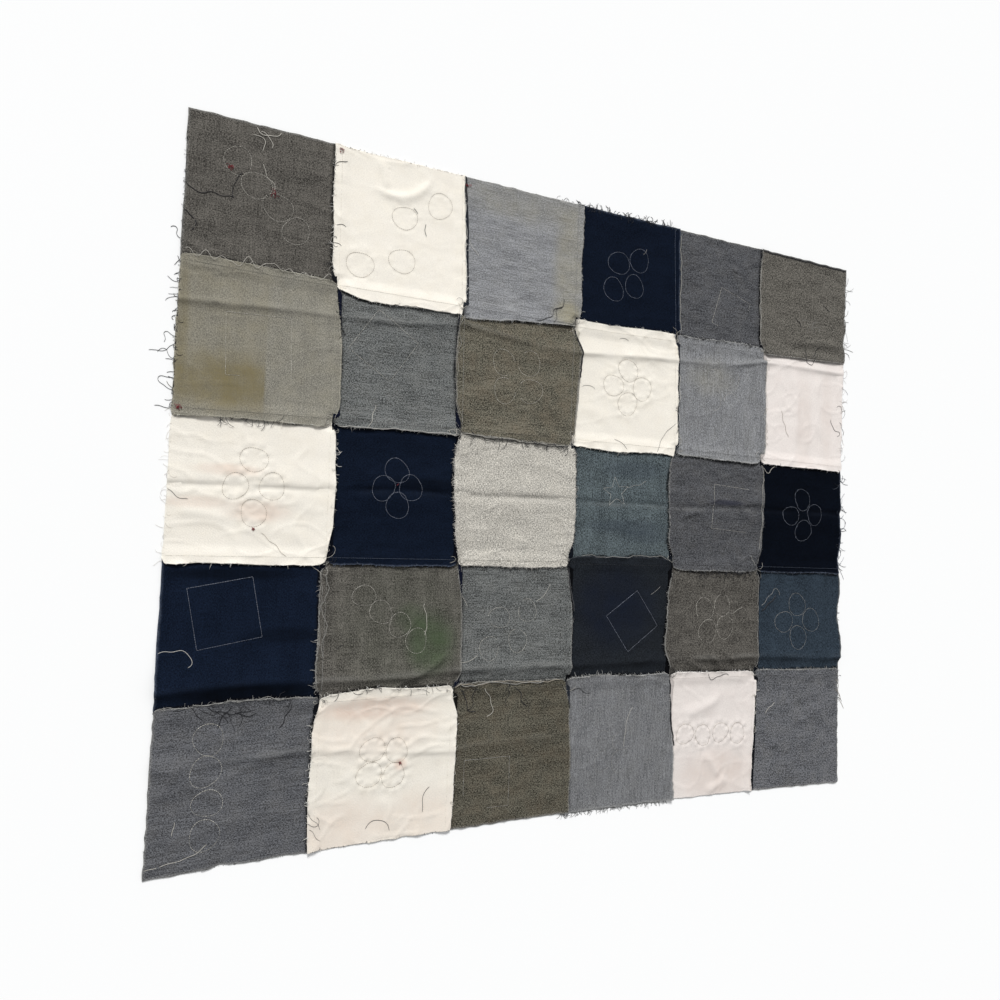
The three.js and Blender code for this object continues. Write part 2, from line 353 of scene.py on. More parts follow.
@dataclass(frozen=True)
class OnSquare:
    """Something on one square, placed from the square's middle."""

    row: int
    column: int

    def middle(self, plan: SeamPlan) -> Pair:
        """Give the middle of the square."""
        return plan.middle(self.row, self.column)


class Motif(Enum):
    """How the sewn outlines of a square are laid out."""

    ROW = "four rings in a row"
    BLOCK = "four rings in two rows of two"
    PETALS = "four rings about a middle"
    LOOSE = "four rings strewn about"
    BOX = "one square outline"
    STAR = "one five-pointed star"


@dataclass(frozen=True)
class SewnOutline(OnSquare):
    """The back of an outline sewn on a square, by its middle from the square's own middle, pitch and turn.

    shows is the share of each line that shows and first where that share begins, by chance if it isn't set;
    across narrows the layout and skew leans it.
    """

    motif: Motif
    x: float
    y: float
    pitch: float
    turn: float
    shade: str
    ring: float = 19.5
    gather: float = 0.5
    shows: float = 1.0
    first: float | None = None
    across: float = 1.0
    skew: float = 0.0

    def middles(self) -> Array:
        """Place the four rings about the outline's middle by its motif.

        Returns:
            An array of four places on the square.
        """
        steps = np.arange(4) - 1.5
        quarter = np.arange(4) * math.pi / 2
        if self.motif is Motif.ROW:
            places = np.stack([steps * self.pitch, 2.5 * np.sin(steps * 2)], 1)
        elif self.motif is Motif.BLOCK:
            places = np.array([(-1, 1), (1, 1), (-1, -1), (1, -1)]) * self.pitch / 2
        elif self.motif is Motif.LOOSE:
            places = np.array([(3, 30), (58, 60), (-62, -53), (1, -37)], dtype=float)
        else:
            places = np.stack([np.sin(quarter), np.cos(quarter)], 1) * self.pitch
        return self._turned(places) + (self.x, self.y)

    def corners(self) -> Array:
        """Give the corners of a square or a star about the outline's middle.

        Returns:
            The corners in order.
        """
        if self.motif is Motif.BOX:
            places = np.array([(-1, -1), (1, -1), (1, 1), (-1, 1)]) * self.pitch / 2
        else:
            points = np.arange(10) * math.pi / 5
            reach = np.where(np.arange(10) % 2 == 0, 1.0, 0.42) * self.pitch
            places = np.stack([np.sin(points), np.cos(points)], 1) * reach[:, None]
        return self._turned(places) + (self.x, self.y)

    def is_rings(self) -> bool:
        """Say whether the outline is made of rings."""
        return self.motif not in (Motif.BOX, Motif.STAR)

    def _turned(self, places: Array) -> Array:
        """Narrow, lean and turn places about the outline's middle."""
        angle = math.radians(self.turn)
        c, s = math.cos(angle), math.sin(angle)
        leaning = np.array([(self.across, 0.0), (math.tan(math.radians(self.skew)), 1.0)])
        return places @ leaning @ np.array([(c, s), (-s, c)])


# Thread shades
PALE = "#cbc7bd"
FAINT = "#a5a39e"
GREY = "#a79e90"
COOL = "#8a909e"
WHITE = "#dcd9d2"
DARK = "#15161c"
RED = "#7c1d27"

OUTLINES = (
    SewnOutline(0, 0, Motif.ROW, 3, 5, 39, -46, PALE),
    SewnOutline(0, 1, Motif.LOOSE, -1, -13, 0, 0, GREY),
    SewnOutline(0, 3, Motif.BLOCK, -2, 0, 43, 15, COOL, skew=26),
    SewnOutline(0, 4, Motif.BOX, 25, -33, 71, -17, PALE, shows=0.6, first=0.45),
    SewnOutline(0, 5, Motif.PETALS, 14, -32, 15, 0, FAINT, ring=11.0, gather=0.3, shows=0.45),
    SewnOutline(1, 0, Motif.BOX, 1, -4, 87, 2, PALE, gather=0.25, shows=0.8, first=0.25),
    SewnOutline(1, 1, Motif.BOX, -26, 20, 76, -34, PALE),
    SewnOutline(1, 2, Motif.BLOCK, -3, -2, 45, 4, PALE, shows=0.8),
    SewnOutline(1, 3, Motif.PETALS, 5, 4, 29, 0, GREY, gather=0.9),
    SewnOutline(1, 4, Motif.BLOCK, 8, 20, 40, 0, PALE, ring=17.0, gather=0.4, shows=0.5),
    SewnOutline(2, 0, Motif.PETALS, 3, -1, 37, 2, GREY, ring=18.0, gather=1.0, across=0.65),
    SewnOutline(2, 1, Motif.PETALS, 0, 6, 26, 3, COOL, ring=18.0, across=0.8),
    SewnOutline(2, 3, Motif.STAR, -15, 20, 26, 6, WHITE),
    SewnOutline(2, 4, Motif.BOX, 30, 4, 80, -4, PALE, shows=0.75, first=0.5),
    SewnOutline(2, 5, Motif.PETALS, 6, 1, 30, 4, COOL),
    SewnOutline(3, 0, Motif.BOX, -25, 27, 84, 11, COOL),
    SewnOutline(3, 1, Motif.ROW, -2, 13, 35, -40, PALE, ring=17.0),
    SewnOutline(3, 2, Motif.BLOCK, -7, -8, 43, 12, PALE, ring=17.0, shows=0.9, across=1.16, skew=31),
    SewnOutline(3, 3, Motif.BOX, 24, 1, 74, 35, COOL),
    SewnOutline(3, 4, Motif.BLOCK, 0, 5, 40, 9, PALE, shows=0.9),
    SewnOutline(3, 5, Motif.PETALS, -2, 0, 31, 2, FAINT, ring=21.0, across=1.08),
    SewnOutline(4, 0, Motif.ROW, -36, 3, 42, -90, PALE),
    SewnOutline(4, 1, Motif.BLOCK, -3, 8, 36, -6, GREY, ring=17.5, gather=1.2),
    SewnOutline(4, 2, Motif.BOX, -36, -42, 76, 0, FAINT, shows=0.8),
    SewnOutline(4, 3, Motif.PETALS, -10, -12, 24, 40, FAINT, ring=17.0, gather=0.4, shows=0.6),
    SewnOutline(4, 4, Motif.ROW, 2, 3, 39, -4, GREY, ring=17.5, gather=1.3),
)


@dataclass(frozen=True)
class FoldCrease:
    """An old fold across a whole row of squares, by its share of the row's depth at each column line.

    A negative height is a valley between two swells; until is the place across where the fold dies out.
    """

    row: int
    shares: tuple[float, ...]
    height: float
    above: float
    below: float
    until: float = 1000.0

    def lasts(self, x: Array) -> Array:
        """Fall softly from 1 to 0 where the fold dies out."""
        return smooth((self.until - x) / 60)

    @property
    def shaded(self) -> float:
        """Give the reach of the side that faces away from the first row."""
        return self.below if self.height > 0 else self.above


@dataclass(frozen=True)
class Crumple(OnSquare):
    """A soft short crease on one square, bowed between two places, all from the square's middle."""

    start: Pair
    end: Pair
    bend: float
    height: float
    reach: float


FOLD_CREASES = (
    FoldCrease(1, (0.28, 0.25, 0.14, 0.235, 0.185, 0.09, 0.11), 3.6, 15, 5),
    FoldCrease(2, (0.52, 0.505, 0.475, 0.495, 0.5, 0.46, 0.46), -3.5, 5, 10),
    FoldCrease(3, (0.87, 0.86, 0.83, 0.86, 0.84, 0.82, 0.83), 6.4, 26, 9),
    FoldCrease(4, (0.34, 0.34, 0.42, 0.43, 0.36, 0.33, 0.3), 2.2, 15, 6, 0.0),
)

# Squares that are more or less crumpled than the rest
CRUMPLED = {
    (0, 1): 0.4, (0, 4): 1.4, (1, 2): 1.4, (1, 3): 0.7, (1, 4): 1.5, (2, 0): 1.2, (2, 2): 1.4, (2, 3): 1.5,
    (2, 4): 1.9, (3, 1): 1.7, (3, 2): 1.5, (3, 4): 1.9, (4, 0): 1.4, (4, 1): 1.5, (4, 2): 1.6, (4, 4): 0.8,
}

# Squares that are darker or paler than others of their cloth
WEAR = {
    (0, 1): 1.04, (0, 2): 1.08, (0, 3): 0.9, (0, 4): 0.9, (1, 0): 1.06, (1, 1): 1.1, (1, 2): 1.34,
    (1, 4): 0.95, (2, 3): 1.2, (2, 4): 0.84, (2, 5): 0.36, (3, 0): 1.25, (3, 3): 1.22, (3, 4): 0.87,
    (3, 5): 1.14, (4, 0): 1.12, (4, 1): 0.94, (4, 3): 0.74, (4, 4): 0.94, (4, 5): 1.28,
}

# By square: both ends, bend, height and reach
CRUMPLES = rows_of(Crumple, {
    (0, 1): (((-52, 55), (48, 96), -26, 3.2, 6), ((-42, 102), (-28, 52), 3, 2.4, 5)),
    (1, 3): (((-95, -40), (-20, -70), 10, 0.9, 9),),
    (1, 5): (
        ((-30, 90), (-18, -80), 8, 2.4, 8), ((34, 80), (48, -60), -6, 2.0, 8),
        ((4, 50), (14, -90), 4, 1.6, 8),
    ),
    (2, 0): (((-100, -38), (-20, -52), 4, 2.2, 7), ((-20, -60), (90, -74), 6, 1.0, 9)),
    (2, 2): (((-60, -30), (40, -70), -8, 0.9, 10),),
    (2, 4): (((-10, 14), (80, 8), 2, 1.0, 6), ((-85, -22), (-30, -4), 4, 3.0, 3)),
    (4, 1): (
        ((-80, 40), (-45, -20), -8, 1.3, 8), ((40, 50), (85, -10), 10, 1.3, 8),
        ((-10, -40), (20, -95), 6, 1.2, 8),
    ),
    (4, 4): (
        ((-60, 44), (-46, -60), 5, 1.2, 8), ((58, 42), (70, -50), -6, 1.1, 8),
        ((-70, 40), (30, 75), -8, 3.0, 9), ((-10, -100), (40, -78), 0, 2.6, 6),
        ((-20, -30), (20, -80), 6, 2.6, 7),
    ),
    (4, 0): (
        ((-80, 10), (60, -20), 10, 0.9, 12), ((-20, 55), (90, 20), -6, 1.6, 9),
        ((-90, -70), (20, -45), 6, 1.6, 9),
    ),
    (2, 1): (((30, 40), (95, -12), 0, 2.0, 7),),
    (2, 3): (((-50, -25), (70, -62), 0, 1.6, 12),),
    (3, 4): (
        ((-70, -40), (60, -52), -6, 0.9, 10), ((-30, -54), (18, -96), 8, 4.2, 3),
        ((2, -50), (54, -94), 8, 4.0, 3), ((-70, -70), (-12, -97), 6, 3.6, 3),
    ),
    (3, 1): (((10, -80), (90, -40), -6, 5.0, 4),),
    (3, 2): (((-60, -84), (80, -76), 8, 1.8, 7),),
    (0, 5): (((-50, -74), (110, -64), 4, 5.0, 6),),
})


@dataclass
class Relief:
    """How high the cloth stands off the surface it lies on, before its own thickness."""

    plan: SeamPlan
    swell: float = 0.7
    swell_length: float = 210.0
    ripple_length: float = 42.0
    seam_pucker: float = 0.55
    seam_reach: float = 16.0
    pucker_length: float = 26.0
    ridge_round: float = 1.2
    fold_stray: float = 2.2
    fold_stray_length: float = 240.0
    valley_reach: float = 28.0
    wrinkle: float = 0.75
    gather_reach: float = 8.0
    groove_reach: float = 2.6
    square_reach: float = 125.0
    crumpled_half: float = 105.0
    crumpled_fade: float = 20.0

    def height(self, x: Array, y: Array) -> Array:
        """Add folds, crumples, swells and puckers, and keep the sum from going below the surface.

        Args:
            x: Places along X in millimetres.
            y: Places along Y in millimetres.

        Returns:
            Heights in millimetres.
        """
        total = self._swells(x, y) + self._seam_puckers(x, y) + self._wrinkles(x, y)
        for crease in FOLD_CREASES:
            total += self._fold(crease, x, y)
        for crumple in CRUMPLES:
            if self._reaches(crumple, x, y):
                total += self._crumple(crumple, x, y)
        for outline in OUTLINES:
            if self._reaches(outline, x, y):
                total += self._gathers(outline, x, y)
        return np.maximum(total, 0.0)

    def fold_marks(self, x: Array, y: Array) -> tuple[Array, Array]:
        """Give the pale band on a fold's lit side above its crest, partly rubbed wear and partly painted
        highlight, and the painted shade on its far side below it.

        Args:
            x: Places along X in millimetres.
            y: Places along Y in millimetres.

        Returns:
            Highlight and shade shares from 0 to 1.
        """
        rubbed = np.zeros_like(x)
        fold_shade = np.zeros_like(x)
        for crease in FOLD_CREASES:
            up = self._from_fold(crease, x, y) * math.copysign(1.0, crease.height)
            soft = 0.35 * crease.shaded + 1.0
            uneven = Unevenness(Seed.FOLD_MARK + crease.row, 90).at(x)
            patchy = np.clip(0.6 + 0.5 * uneven, 0.1, 1.0) * crease.lasts(x)
            rubbed = np.maximum(rubbed, patchy * np.exp(-(((up - 3.5) / 3.5) ** 2)))
            fold_shade = np.maximum(fold_shade, patchy * np.exp(-(((up + soft) / soft) ** 2)))
        return rubbed, fold_shade

    def _reaches(self, thing: OnSquare, x: Array, y: Array) -> bool:
        """Say whether any of the places comes near a thing's square."""
        mid = thing.middle(self.plan)
        near = (np.abs(x - mid[0]) < self.square_reach) & (np.abs(y - mid[1]) < self.square_reach)
        return bool(np.any(near))

    def _from_fold(self, crease: FoldCrease, x: Array, y: Array) -> Array:
        """Measure upwards from a fold's wandering line."""
        share = np.interp(x, [line.middle for line in self.plan.column_lines], crease.shares)
        upper = self.plan.row_line(crease.row, x)
        lower = self.plan.row_line(crease.row + 1, x)
        strays = self.fold_stray * Unevenness(Seed.FOLD_LINE + crease.row, self.fold_stray_length).at(x)
        return y - (upper + (lower - upper) * share + strays)

    def _fold(self, crease: FoldCrease, x: Array, y: Array) -> Array:
        """Raise a fold as a tent that falls off with the distance from its line, or sink it in a swell."""
        up = self._from_fold(crease, x, y)
        away = np.sqrt(up**2 + self.ridge_round**2) - self.ridge_round
        uneven = Unevenness(Seed.FOLD_STRENGTH + crease.row, 170).at(x)
        strength = np.clip(0.95 + 0.35 * uneven, 0.5, 1.35) * crease.lasts(x)
        tent = crease.height * np.exp(-away / np.where(up > 0, crease.above, crease.below))
        swell = max(-crease.height, 0.0) * np.exp(-((up / self.valley_reach) ** 2))
        return strength * (tent + swell)

    def _crumple(self, crumple: Crumple, x: Array, y: Array) -> Array:
        """Raise a short crease: a tent along a bowed line that fades out at both ends."""
        mid = crumple.middle(self.plan)
        span = np.subtract(crumple.end, crumple.start)
        length = float(np.hypot(*span))
        along_x, along_y = span / length
        dx = x - mid[0] - crumple.start[0]
        dy = y - mid[1] - crumple.start[1]
        along = (dx * along_x + dy * along_y) / length
        bow = crumple.bend * 4 * along * (1 - along)
        away = np.sqrt((dy * along_x - dx * along_y - bow) ** 2 + 4.0) - 2.0
        ends = smooth(along / 0.25) * smooth((1 - along) / 0.25)
        return crumple.height * ends * np.exp(-((away / crumple.reach) ** 1.5))

    def _swells(self, x: Array, y: Array) -> Array:
        """Lift the cloth in long soft swells and fine slack ripples."""
        long_waves = np.clip(0.5 + 0.5 * Unevenness(Seed.SWELL, self.swell_length, 14).at(x, y), 0.0, 2.0)
        ripples = Unevenness(Seed.RIPPLE, self.ripple_length, 16).at(x, y)
        return self.swell * long_waves + 0.16 * self.swell * ripples + 0.25

    def _wrinkles(self, x: Array, y: Array) -> Array:
        """Raise a patchy net of soft wrinkles, where two uneven fields pass through zero."""
        total = np.zeros_like(x)
        for k, (length, width) in enumerate(((120, 0.16), (75, 0.2), (170, 0.1))):
            ridge = np.exp(-((Unevenness(Seed.WRINKLE + k, length).at(x, y * 1.25) / width) ** 2))
            total += ridge * smooth(0.5 + 0.7 * Unevenness(Seed.WRINKLE_PATCH + k, 150).at(x, y))
        more = np.ones_like(x)
        for (row, column), factor in CRUMPLED.items():
            mid = self.plan.middle(row, column)
            within = (self.crumpled_half - np.abs(place - m) for place, m in zip((x, y), mid))
            more += (factor - 1) * math.prod(smooth(depth / self.crumpled_fade) for depth in within)
        return self.wrinkle * total * more

    def _seam_puckers(self, x: Array, y: Array) -> Array:
        """Ripple the cloth along the seams, fading away from them."""
        to_column = np.min([np.abs(x - self.plan.column_line(j, y)) for j in range(COLUMNS + 1)], axis=0)
        to_row = np.min([np.abs(y - self.plan.row_line(i, x)) for i in range(ROWS + 1)], axis=0)
        by_column = 0.5 + 0.5 * Unevenness(Seed.COLUMN_PUCKER, self.pucker_length).at(x * 0.2, y)
        by_row = 0.5 + 0.5 * Unevenness(Seed.ROW_PUCKER, self.pucker_length).at(x, y * 0.2)
        by_column *= np.exp(-((to_column / self.seam_reach) ** 2))
        by_row *= np.exp(-((to_row / self.seam_reach) ** 2))
        return self.seam_pucker * np.clip(by_column + by_row, 0.0, 2.0)

    def _gathers(self, outline: SewnOutline, x: Array, y: Array) -> Array:
        """Draw the cloth in along a sewn outline: a groove at the thread, rays and a swell beside it."""
        mid = outline.middle(self.plan)
        total = np.zeros_like(x)
        if outline.is_rings():
            for k, (cx, cy) in enumerate(outline.middles()):
                dx, dy = x - mid[0] - cx, y - mid[1] - cy
                away = np.hypot(dx, dy) - outline.ring
                rays = np.sin(9 * np.arctan2(dy, dx) + 1.7 * k + outline.x)
                total += self._drawn_in(away, rays, outline.gather)
            return total
        corners = outline.corners() + mid
        away = np.full_like(x, 1e6)
        for (ax, ay), (bx, by) in zip(corners, np.roll(corners, -1, axis=0)):
            ex, ey = bx - ax, by - ay
            share = np.clip(((x - ax) * ex + (y - ay) * ey) / (ex * ex + ey * ey), 0, 1)
            away = np.minimum(away, np.hypot(x - ax - share * ex, y - ay - share * ey))
        rays = np.sin((x + y) / 4.0 + outline.y)
        return self._drawn_in(away, rays, outline.gather)

    def _drawn_in(self, away: Array, rays: Array, gather: float) -> Array:
        """Combine a groove on the outline with rays and a swell that fade away from it."""
        near = np.exp(-((away / self.gather_reach) ** 2))
        groove = np.exp(-((away / self.groove_reach) ** 2))
        return gather * (1.1 * near + 0.6 * near * rays - 1.2 * groove)


@dataclass(frozen=True)
class EdgeProfile:
    """Stations from the inside of a square to the end of its allowance.

    own is the distance past the seam line on the square itself, fold the share of the allowance's width that
    lies past it (outwards over the neighbour, or negative where it is turned back), level the share of the
    allowance's lift, and raw the nearness to the cut edge.
    """

    own: Array
    fold: Array
    level: Array
    raw: Array

    @staticmethod
    def of(lap: Lap) -> EdgeProfile:
        """Make the stations for one kind of side.

        Args:
            lap: What the allowance does there.

        Returns:
            The stations, from the inside outwards.
        """
        if lap is Lap.RAW:
            own = np.array([-17, -13, -9.5, -6.5, -4, -2.2, -0.9, 0.0])
            return EdgeProfile(own, smooth(own / 17 + 1), np.zeros_like(own), np.clip(1 + own / 3.0, 0, 1))
        if lap is Lap.OVER:
            inside = np.array([-18, -16, -14, -12, -10, -8, -6, -4, -2])
            share = np.array([0.0, 0.12, 0.3, 0.5, 0.68, 0.84, 0.94, 1.0])
            own = np.concatenate([inside, np.zeros_like(share)])
            fold = np.concatenate([np.zeros_like(inside), share])
            return EdgeProfile(own, fold, smooth((own + 18) / 17.5), np.clip((fold - 0.78) / 0.22, 0, 1))
        inside = np.array([-18, -16.4, -14.8, -13.3, -12, -10.8, -9.6, -8.4, -7, -5.4, -3.8, -2.4, -1.3])
        share = np.array([0.0, 0.1, 0.35, 0.62, 0.85, 1.0])
        own = np.concatenate([inside, [-0.6], np.full(share.shape, -1.0)])
        fold = np.concatenate([np.zeros(inside.size + 1), -share])
        level = np.concatenate([np.zeros(inside.size), [0.4], np.ones(share.size)])
        return EdgeProfile(own, fold, level, np.clip((-fold - 0.8) / 0.2, 0, 1))


@dataclass(frozen=True)
class Stations:
    """The grid lines of a square in one direction: a profile at each end and even steps between them."""

    end: Array
    share: Array
    own: Array
    fold: Array
    level: Array
    raw: Array
    kept: Array

    @staticmethod
    def between(first: EdgeProfile, last: EdgeProfile, steps: int, thin: int) -> Stations:
        """Join two profiles with even steps.

        Args:
            first: The profile at the low end.
            last: The profile at the high end.
            steps: Even steps between them.
            thin: Every which even step the underside keeps.

        Returns:
            The stations from the low end to the high end.
        """
        inner = np.linspace(0, 1, steps + 1)
        zero = np.zeros_like(inner)
        a, b = first.own.size, last.own.size
        end = np.concatenate([np.full(a, -1), zero, np.ones(b)])
        share = np.concatenate([np.zeros(a), inner, np.ones(b)])
        joined = [
            np.concatenate([getattr(first, name)[::-1], zero, getattr(last, name)])
            for name in ("own", "fold", "level", "raw")
        ]
        order = np.arange(end.size)
        kept = order[(end != 0) | ((order - a) % thin == 0)]
        return Stations(end, share, *joined, kept)


class Weave(Enum):
    """How a cloth's threads cross."""

    PLAIN = "plain"
    TWILL = "twill"
    CANVAS = "canvas"


@dataclass(frozen=True)
class ClothFinish:
    """A cloth's colours and the strength of its slubs, grain and fading."""

    slot: str
    color: str
    # Colour of turned allowances: the right side, partly painted shade where it shows in the notches
    right_side: str
    weave: Weave = Weave.TWILL
    slubs: float = 0.18
    cross_slubs: float = 0.12
    grain: float = 0.52
    fading: float = 0.12
    faded: str = "#8a857c"
    # Colour of stains, and of painted shade bands on some squares
    stain: str = "#57503f"
    thread: str = "#a9a8a4"
    roughness: float = 0.9
    fringe: float = 2.4
    # Strength of the pale band above fold crests: partly rubbed wear, partly painted highlight
    rub: float = 0.35


class Cloth(Enum):
    """The cloths that the squares are cut from, wrong side up."""

    CHARCOAL = ClothFinish(
        "charcoal_chambray", "#5a5752", "#1c1d22", slubs=0.3, cross_slubs=0.3, grain=0.7, stain="#44563a",
    )
    CREAM = ClothFinish(
        "cream_twill", "#f6f0e4", "#e6dfcf", slubs=0.1, cross_slubs=0.1, grain=0.05, fading=0.3,
        faded="#ece2cf", stain="#d8b8a6", thread="#faf6ec",
    )
    PALE = ClothFinish(
        "pale_chambray", "#868789", "#2c3038", Weave.PLAIN, slubs=0.6, cross_slubs=0.12, grain=0.42,
        faded="#969386", stain="#a39b7c", thread="#c3c3c0", fringe=1.1,
    )
    NAVY = ClothFinish(
        "navy_denim", "#0f1725", "#070a14", grain=0.5, fading=0.15, faded="#151d2e", stain="#04060a",
        thread="#6a7486", rub=0.05,
    )
    IRON = ClothFinish("iron_grey_denim", "#57585b", "#15171c", slubs=0.4, grain=0.64, stain="#23263a")
    UMBER = ClothFinish("umber_grey_twill", "#615e58", "#17171a", slubs=0.34, grain=0.68)
    STONE = ClothFinish(
        "stone_chambray", "#87847a", "#39383a", Weave.PLAIN, grain=0.38, cross_slubs=0.16, fading=0.25,
        faded="#8d866f", stain="#7d7250", thread="#c1bdae",
    )
    ASH = ClothFinish("ash_grey_denim", "#646665", "#10162a", slubs=0.44, grain=0.72)
    OLIVE = ClothFinish(
        "olive_drab_twill", "#58554b", "#1a1916", slubs=0.3, grain=0.84, fading=0.35, faded="#685b4b",
    )
    SHELL = ClothFinish(
        "shell_white_twill", "#eee6e0", "#ddd4cf", slubs=0.1, cross_slubs=0.1, grain=0.05, fading=0.3,
        faded="#e3d6d0", stain="#d0bcae", thread="#f6f2ee",
    )
    OATMEAL = ClothFinish(
        "oatmeal_canvas", "#bab6ad", "#4b4a48", Weave.CANVAS, slubs=0.16, grain=0.5, fading=0.15,
        faded="#aea695", thread="#d4d0c8", fringe=0.5,
    )
    SLATE = ClothFinish(
        "slate_blue_denim", "#4c5457", "#10151d", slubs=0.36, grain=0.7, faded="#55605a", stain="#2f3744",
    )
    INK = ClothFinish(
        "ink_black_denim", "#1d2024", "#08090c", faded="#1d2430", stain="#131a2b", thread="#565a60",
        rub=0.05,
    )
    DARK_SLATE = ClothFinish(
        "dark_slate_denim", "#2c353e", "#0a0e14", cross_slubs=0.2, faded="#36414a", rub=0.05,
    )


LAYOUT = (
    (Cloth.CHARCOAL, Cloth.CREAM, Cloth.PALE, Cloth.NAVY, Cloth.IRON, Cloth.UMBER),
    (Cloth.STONE, Cloth.ASH, Cloth.OLIVE, Cloth.CREAM, Cloth.PALE, Cloth.SHELL),
    (Cloth.CREAM, Cloth.NAVY, Cloth.OATMEAL, Cloth.SLATE, Cloth.IRON, Cloth.NAVY),
    (Cloth.NAVY, Cloth.CHARCOAL, Cloth.ASH, Cloth.INK, Cloth.CHARCOAL, Cloth.DARK_SLATE),
    (Cloth.IRON, Cloth.CREAM, Cloth.OLIVE, Cloth.PALE, Cloth.SHELL, Cloth.IRON),
)

# How fine the flecks of each column's cloths are
FLECK_FINENESS = (1.25, 1.2, 1.12, 1.0, 0.9, 0.82)

# Squares whose slubs run up and down; the others' run across
UPRIGHT_GRAIN = {(1, 4), (4, 3), (1, 0), (3, 0), (3, 1), (3, 5), (2, 3)}


class Signal:
    """A shader value: operators between signals and numbers add Math nodes to its graph."""

    def __init__(self, graph: Graph, socket: bpy.types.NodeSocket) -> None:
        """Keep the graph and the output socket."""
        self.graph = graph
        self.socket = socket

    def _math(self, operation: str, *values: Signal | float) -> Signal:
        """Add a Math node with the given operation."""
        return self.graph.node("ShaderNodeMath", {"operation": operation}, *values)

    def __add__(self, other: Signal | float) -> Signal:
        """Add."""
        return self._math("ADD", self, other)

    def __radd__(self, other: float) -> Signal:
        """Add to a number."""
        return self._math("ADD", other, self)

    def __sub__(self, other: Signal | float) -> Signal:
        """Subtract."""
        return self._math("SUBTRACT", self, other)

    def __rsub__(self, other: float) -> Signal:
        """Subtract from a number."""
        return self._math("SUBTRACT", other, self)

    def __mul__(self, other: Signal | float) -> Signal:
        """Multiply."""
        return self._math("MULTIPLY", self, other)

    def __rmul__(self, other: float) -> Signal:
        """Multiply a number."""
        return self._math("MULTIPLY", other, self)

    def sine(self) -> Signal:
        """Take the sine."""
        return self._math("SINE", self)

    def clipped(self) -> Signal:
        """Hold between 0 and 1."""
        return self.graph.node("ShaderNodeClamp", {}, self, 0.0, 1.0)


class Graph:
    """A material's node tree, built through one method."""

    def __init__(self, name: str) -> None:
        """Start a material with an empty node tree."""
        self.material = bpy.data.materials.new(name)
        self.material.use_nodes = True
        self.tree = self.material.node_tree
        self.tree.nodes.clear()

    def node(
        self, kind: str, settings: dict, *values: object, output: int | str = 0, **named: object
    ) -> Signal:
        """Add a node, set it up and feed its sockets.

        Args:
            kind: The node's type.
            settings: Attributes to set before the sockets are read.
            values: Numbers, colours, vectors or signals for the input sockets in order; None skips one.
            output: The output socket wanted.
            named: Values for input sockets by name, with _ for a space.

        Returns:
            The wanted output as a signal.
        """
        node = self.tree.nodes.new(kind)
        for key, value in settings.items():
            setattr(node, key, value)
        sockets = [s for s in node.inputs if s.enabled]
        for socket, value in zip(sockets, values):
            self._feed(socket, value)
        for key, value in named.items():
            self._feed(node.inputs[key.replace("_", " ")], value)
        outputs = [s for s in node.outputs if s.enabled]
        wanted = outputs[output] if isinstance(output, int) else node.outputs[output]
        return Signal(self, wanted)

    def _feed(self, socket: bpy.types.NodeSocket, value: object) -> None:
        """Link a signal to a socket, or set a plain value on it."""
        if isinstance(value, Signal):
            self.tree.links.new(value.socket, socket)
        elif value is not None:
            short = isinstance(value, tuple) and len(value) == 3 and socket.type == "RGBA"
            socket.default_value = (*value, 1.0) if short else value

    def mix(self, share: Signal | float, a: object, b: object) -> Signal:
        """Blend two colours by a share of the second."""
        return self.node("ShaderNodeMix", {"data_type": "RGBA"}, share, a, b)

    def scaled(self, vector: Signal, by: tuple[float, float, float]) -> Signal:
        """Multiply a vector part by part."""
        return self.node("ShaderNodeVectorMath", {"operation": "MULTIPLY"}, vector, by)

    def noise(self, vector: Signal, detail: float = 2.0) -> Signal:
        """Read a noise that varies about 0, one cell to each unit of the vector."""
        value = self.node(
            "ShaderNodeTexNoise", {}, output="Fac", Vector=vector, Scale=1.0, Detail=detail, Roughness=0.55,
        )
        return value - 0.5

    def cells(self, place: Signal, length: float, width: float, detail: float = 2.0) -> Signal:
        """Read a noise that varies about 0, in cells of a length and a width."""
        return self.noise(self.scaled(place, (1 / length, 1 / width, 1.0)), detail)

    def finish(self, shader: Signal) -> Material:
        """Link the shader to the material's output and hand the material over."""
        output = self.tree.nodes.new("ShaderNodeOutputMaterial")
        self.tree.links.new(shader.socket, output.inputs["Surface"])
        return self.material

    def mark(self, name: str) -> Signal:
        """Read a number that the mesh keeps at its points."""
        return self.node("ShaderNodeAttribute", {"attribute_name": name}, output="Fac")


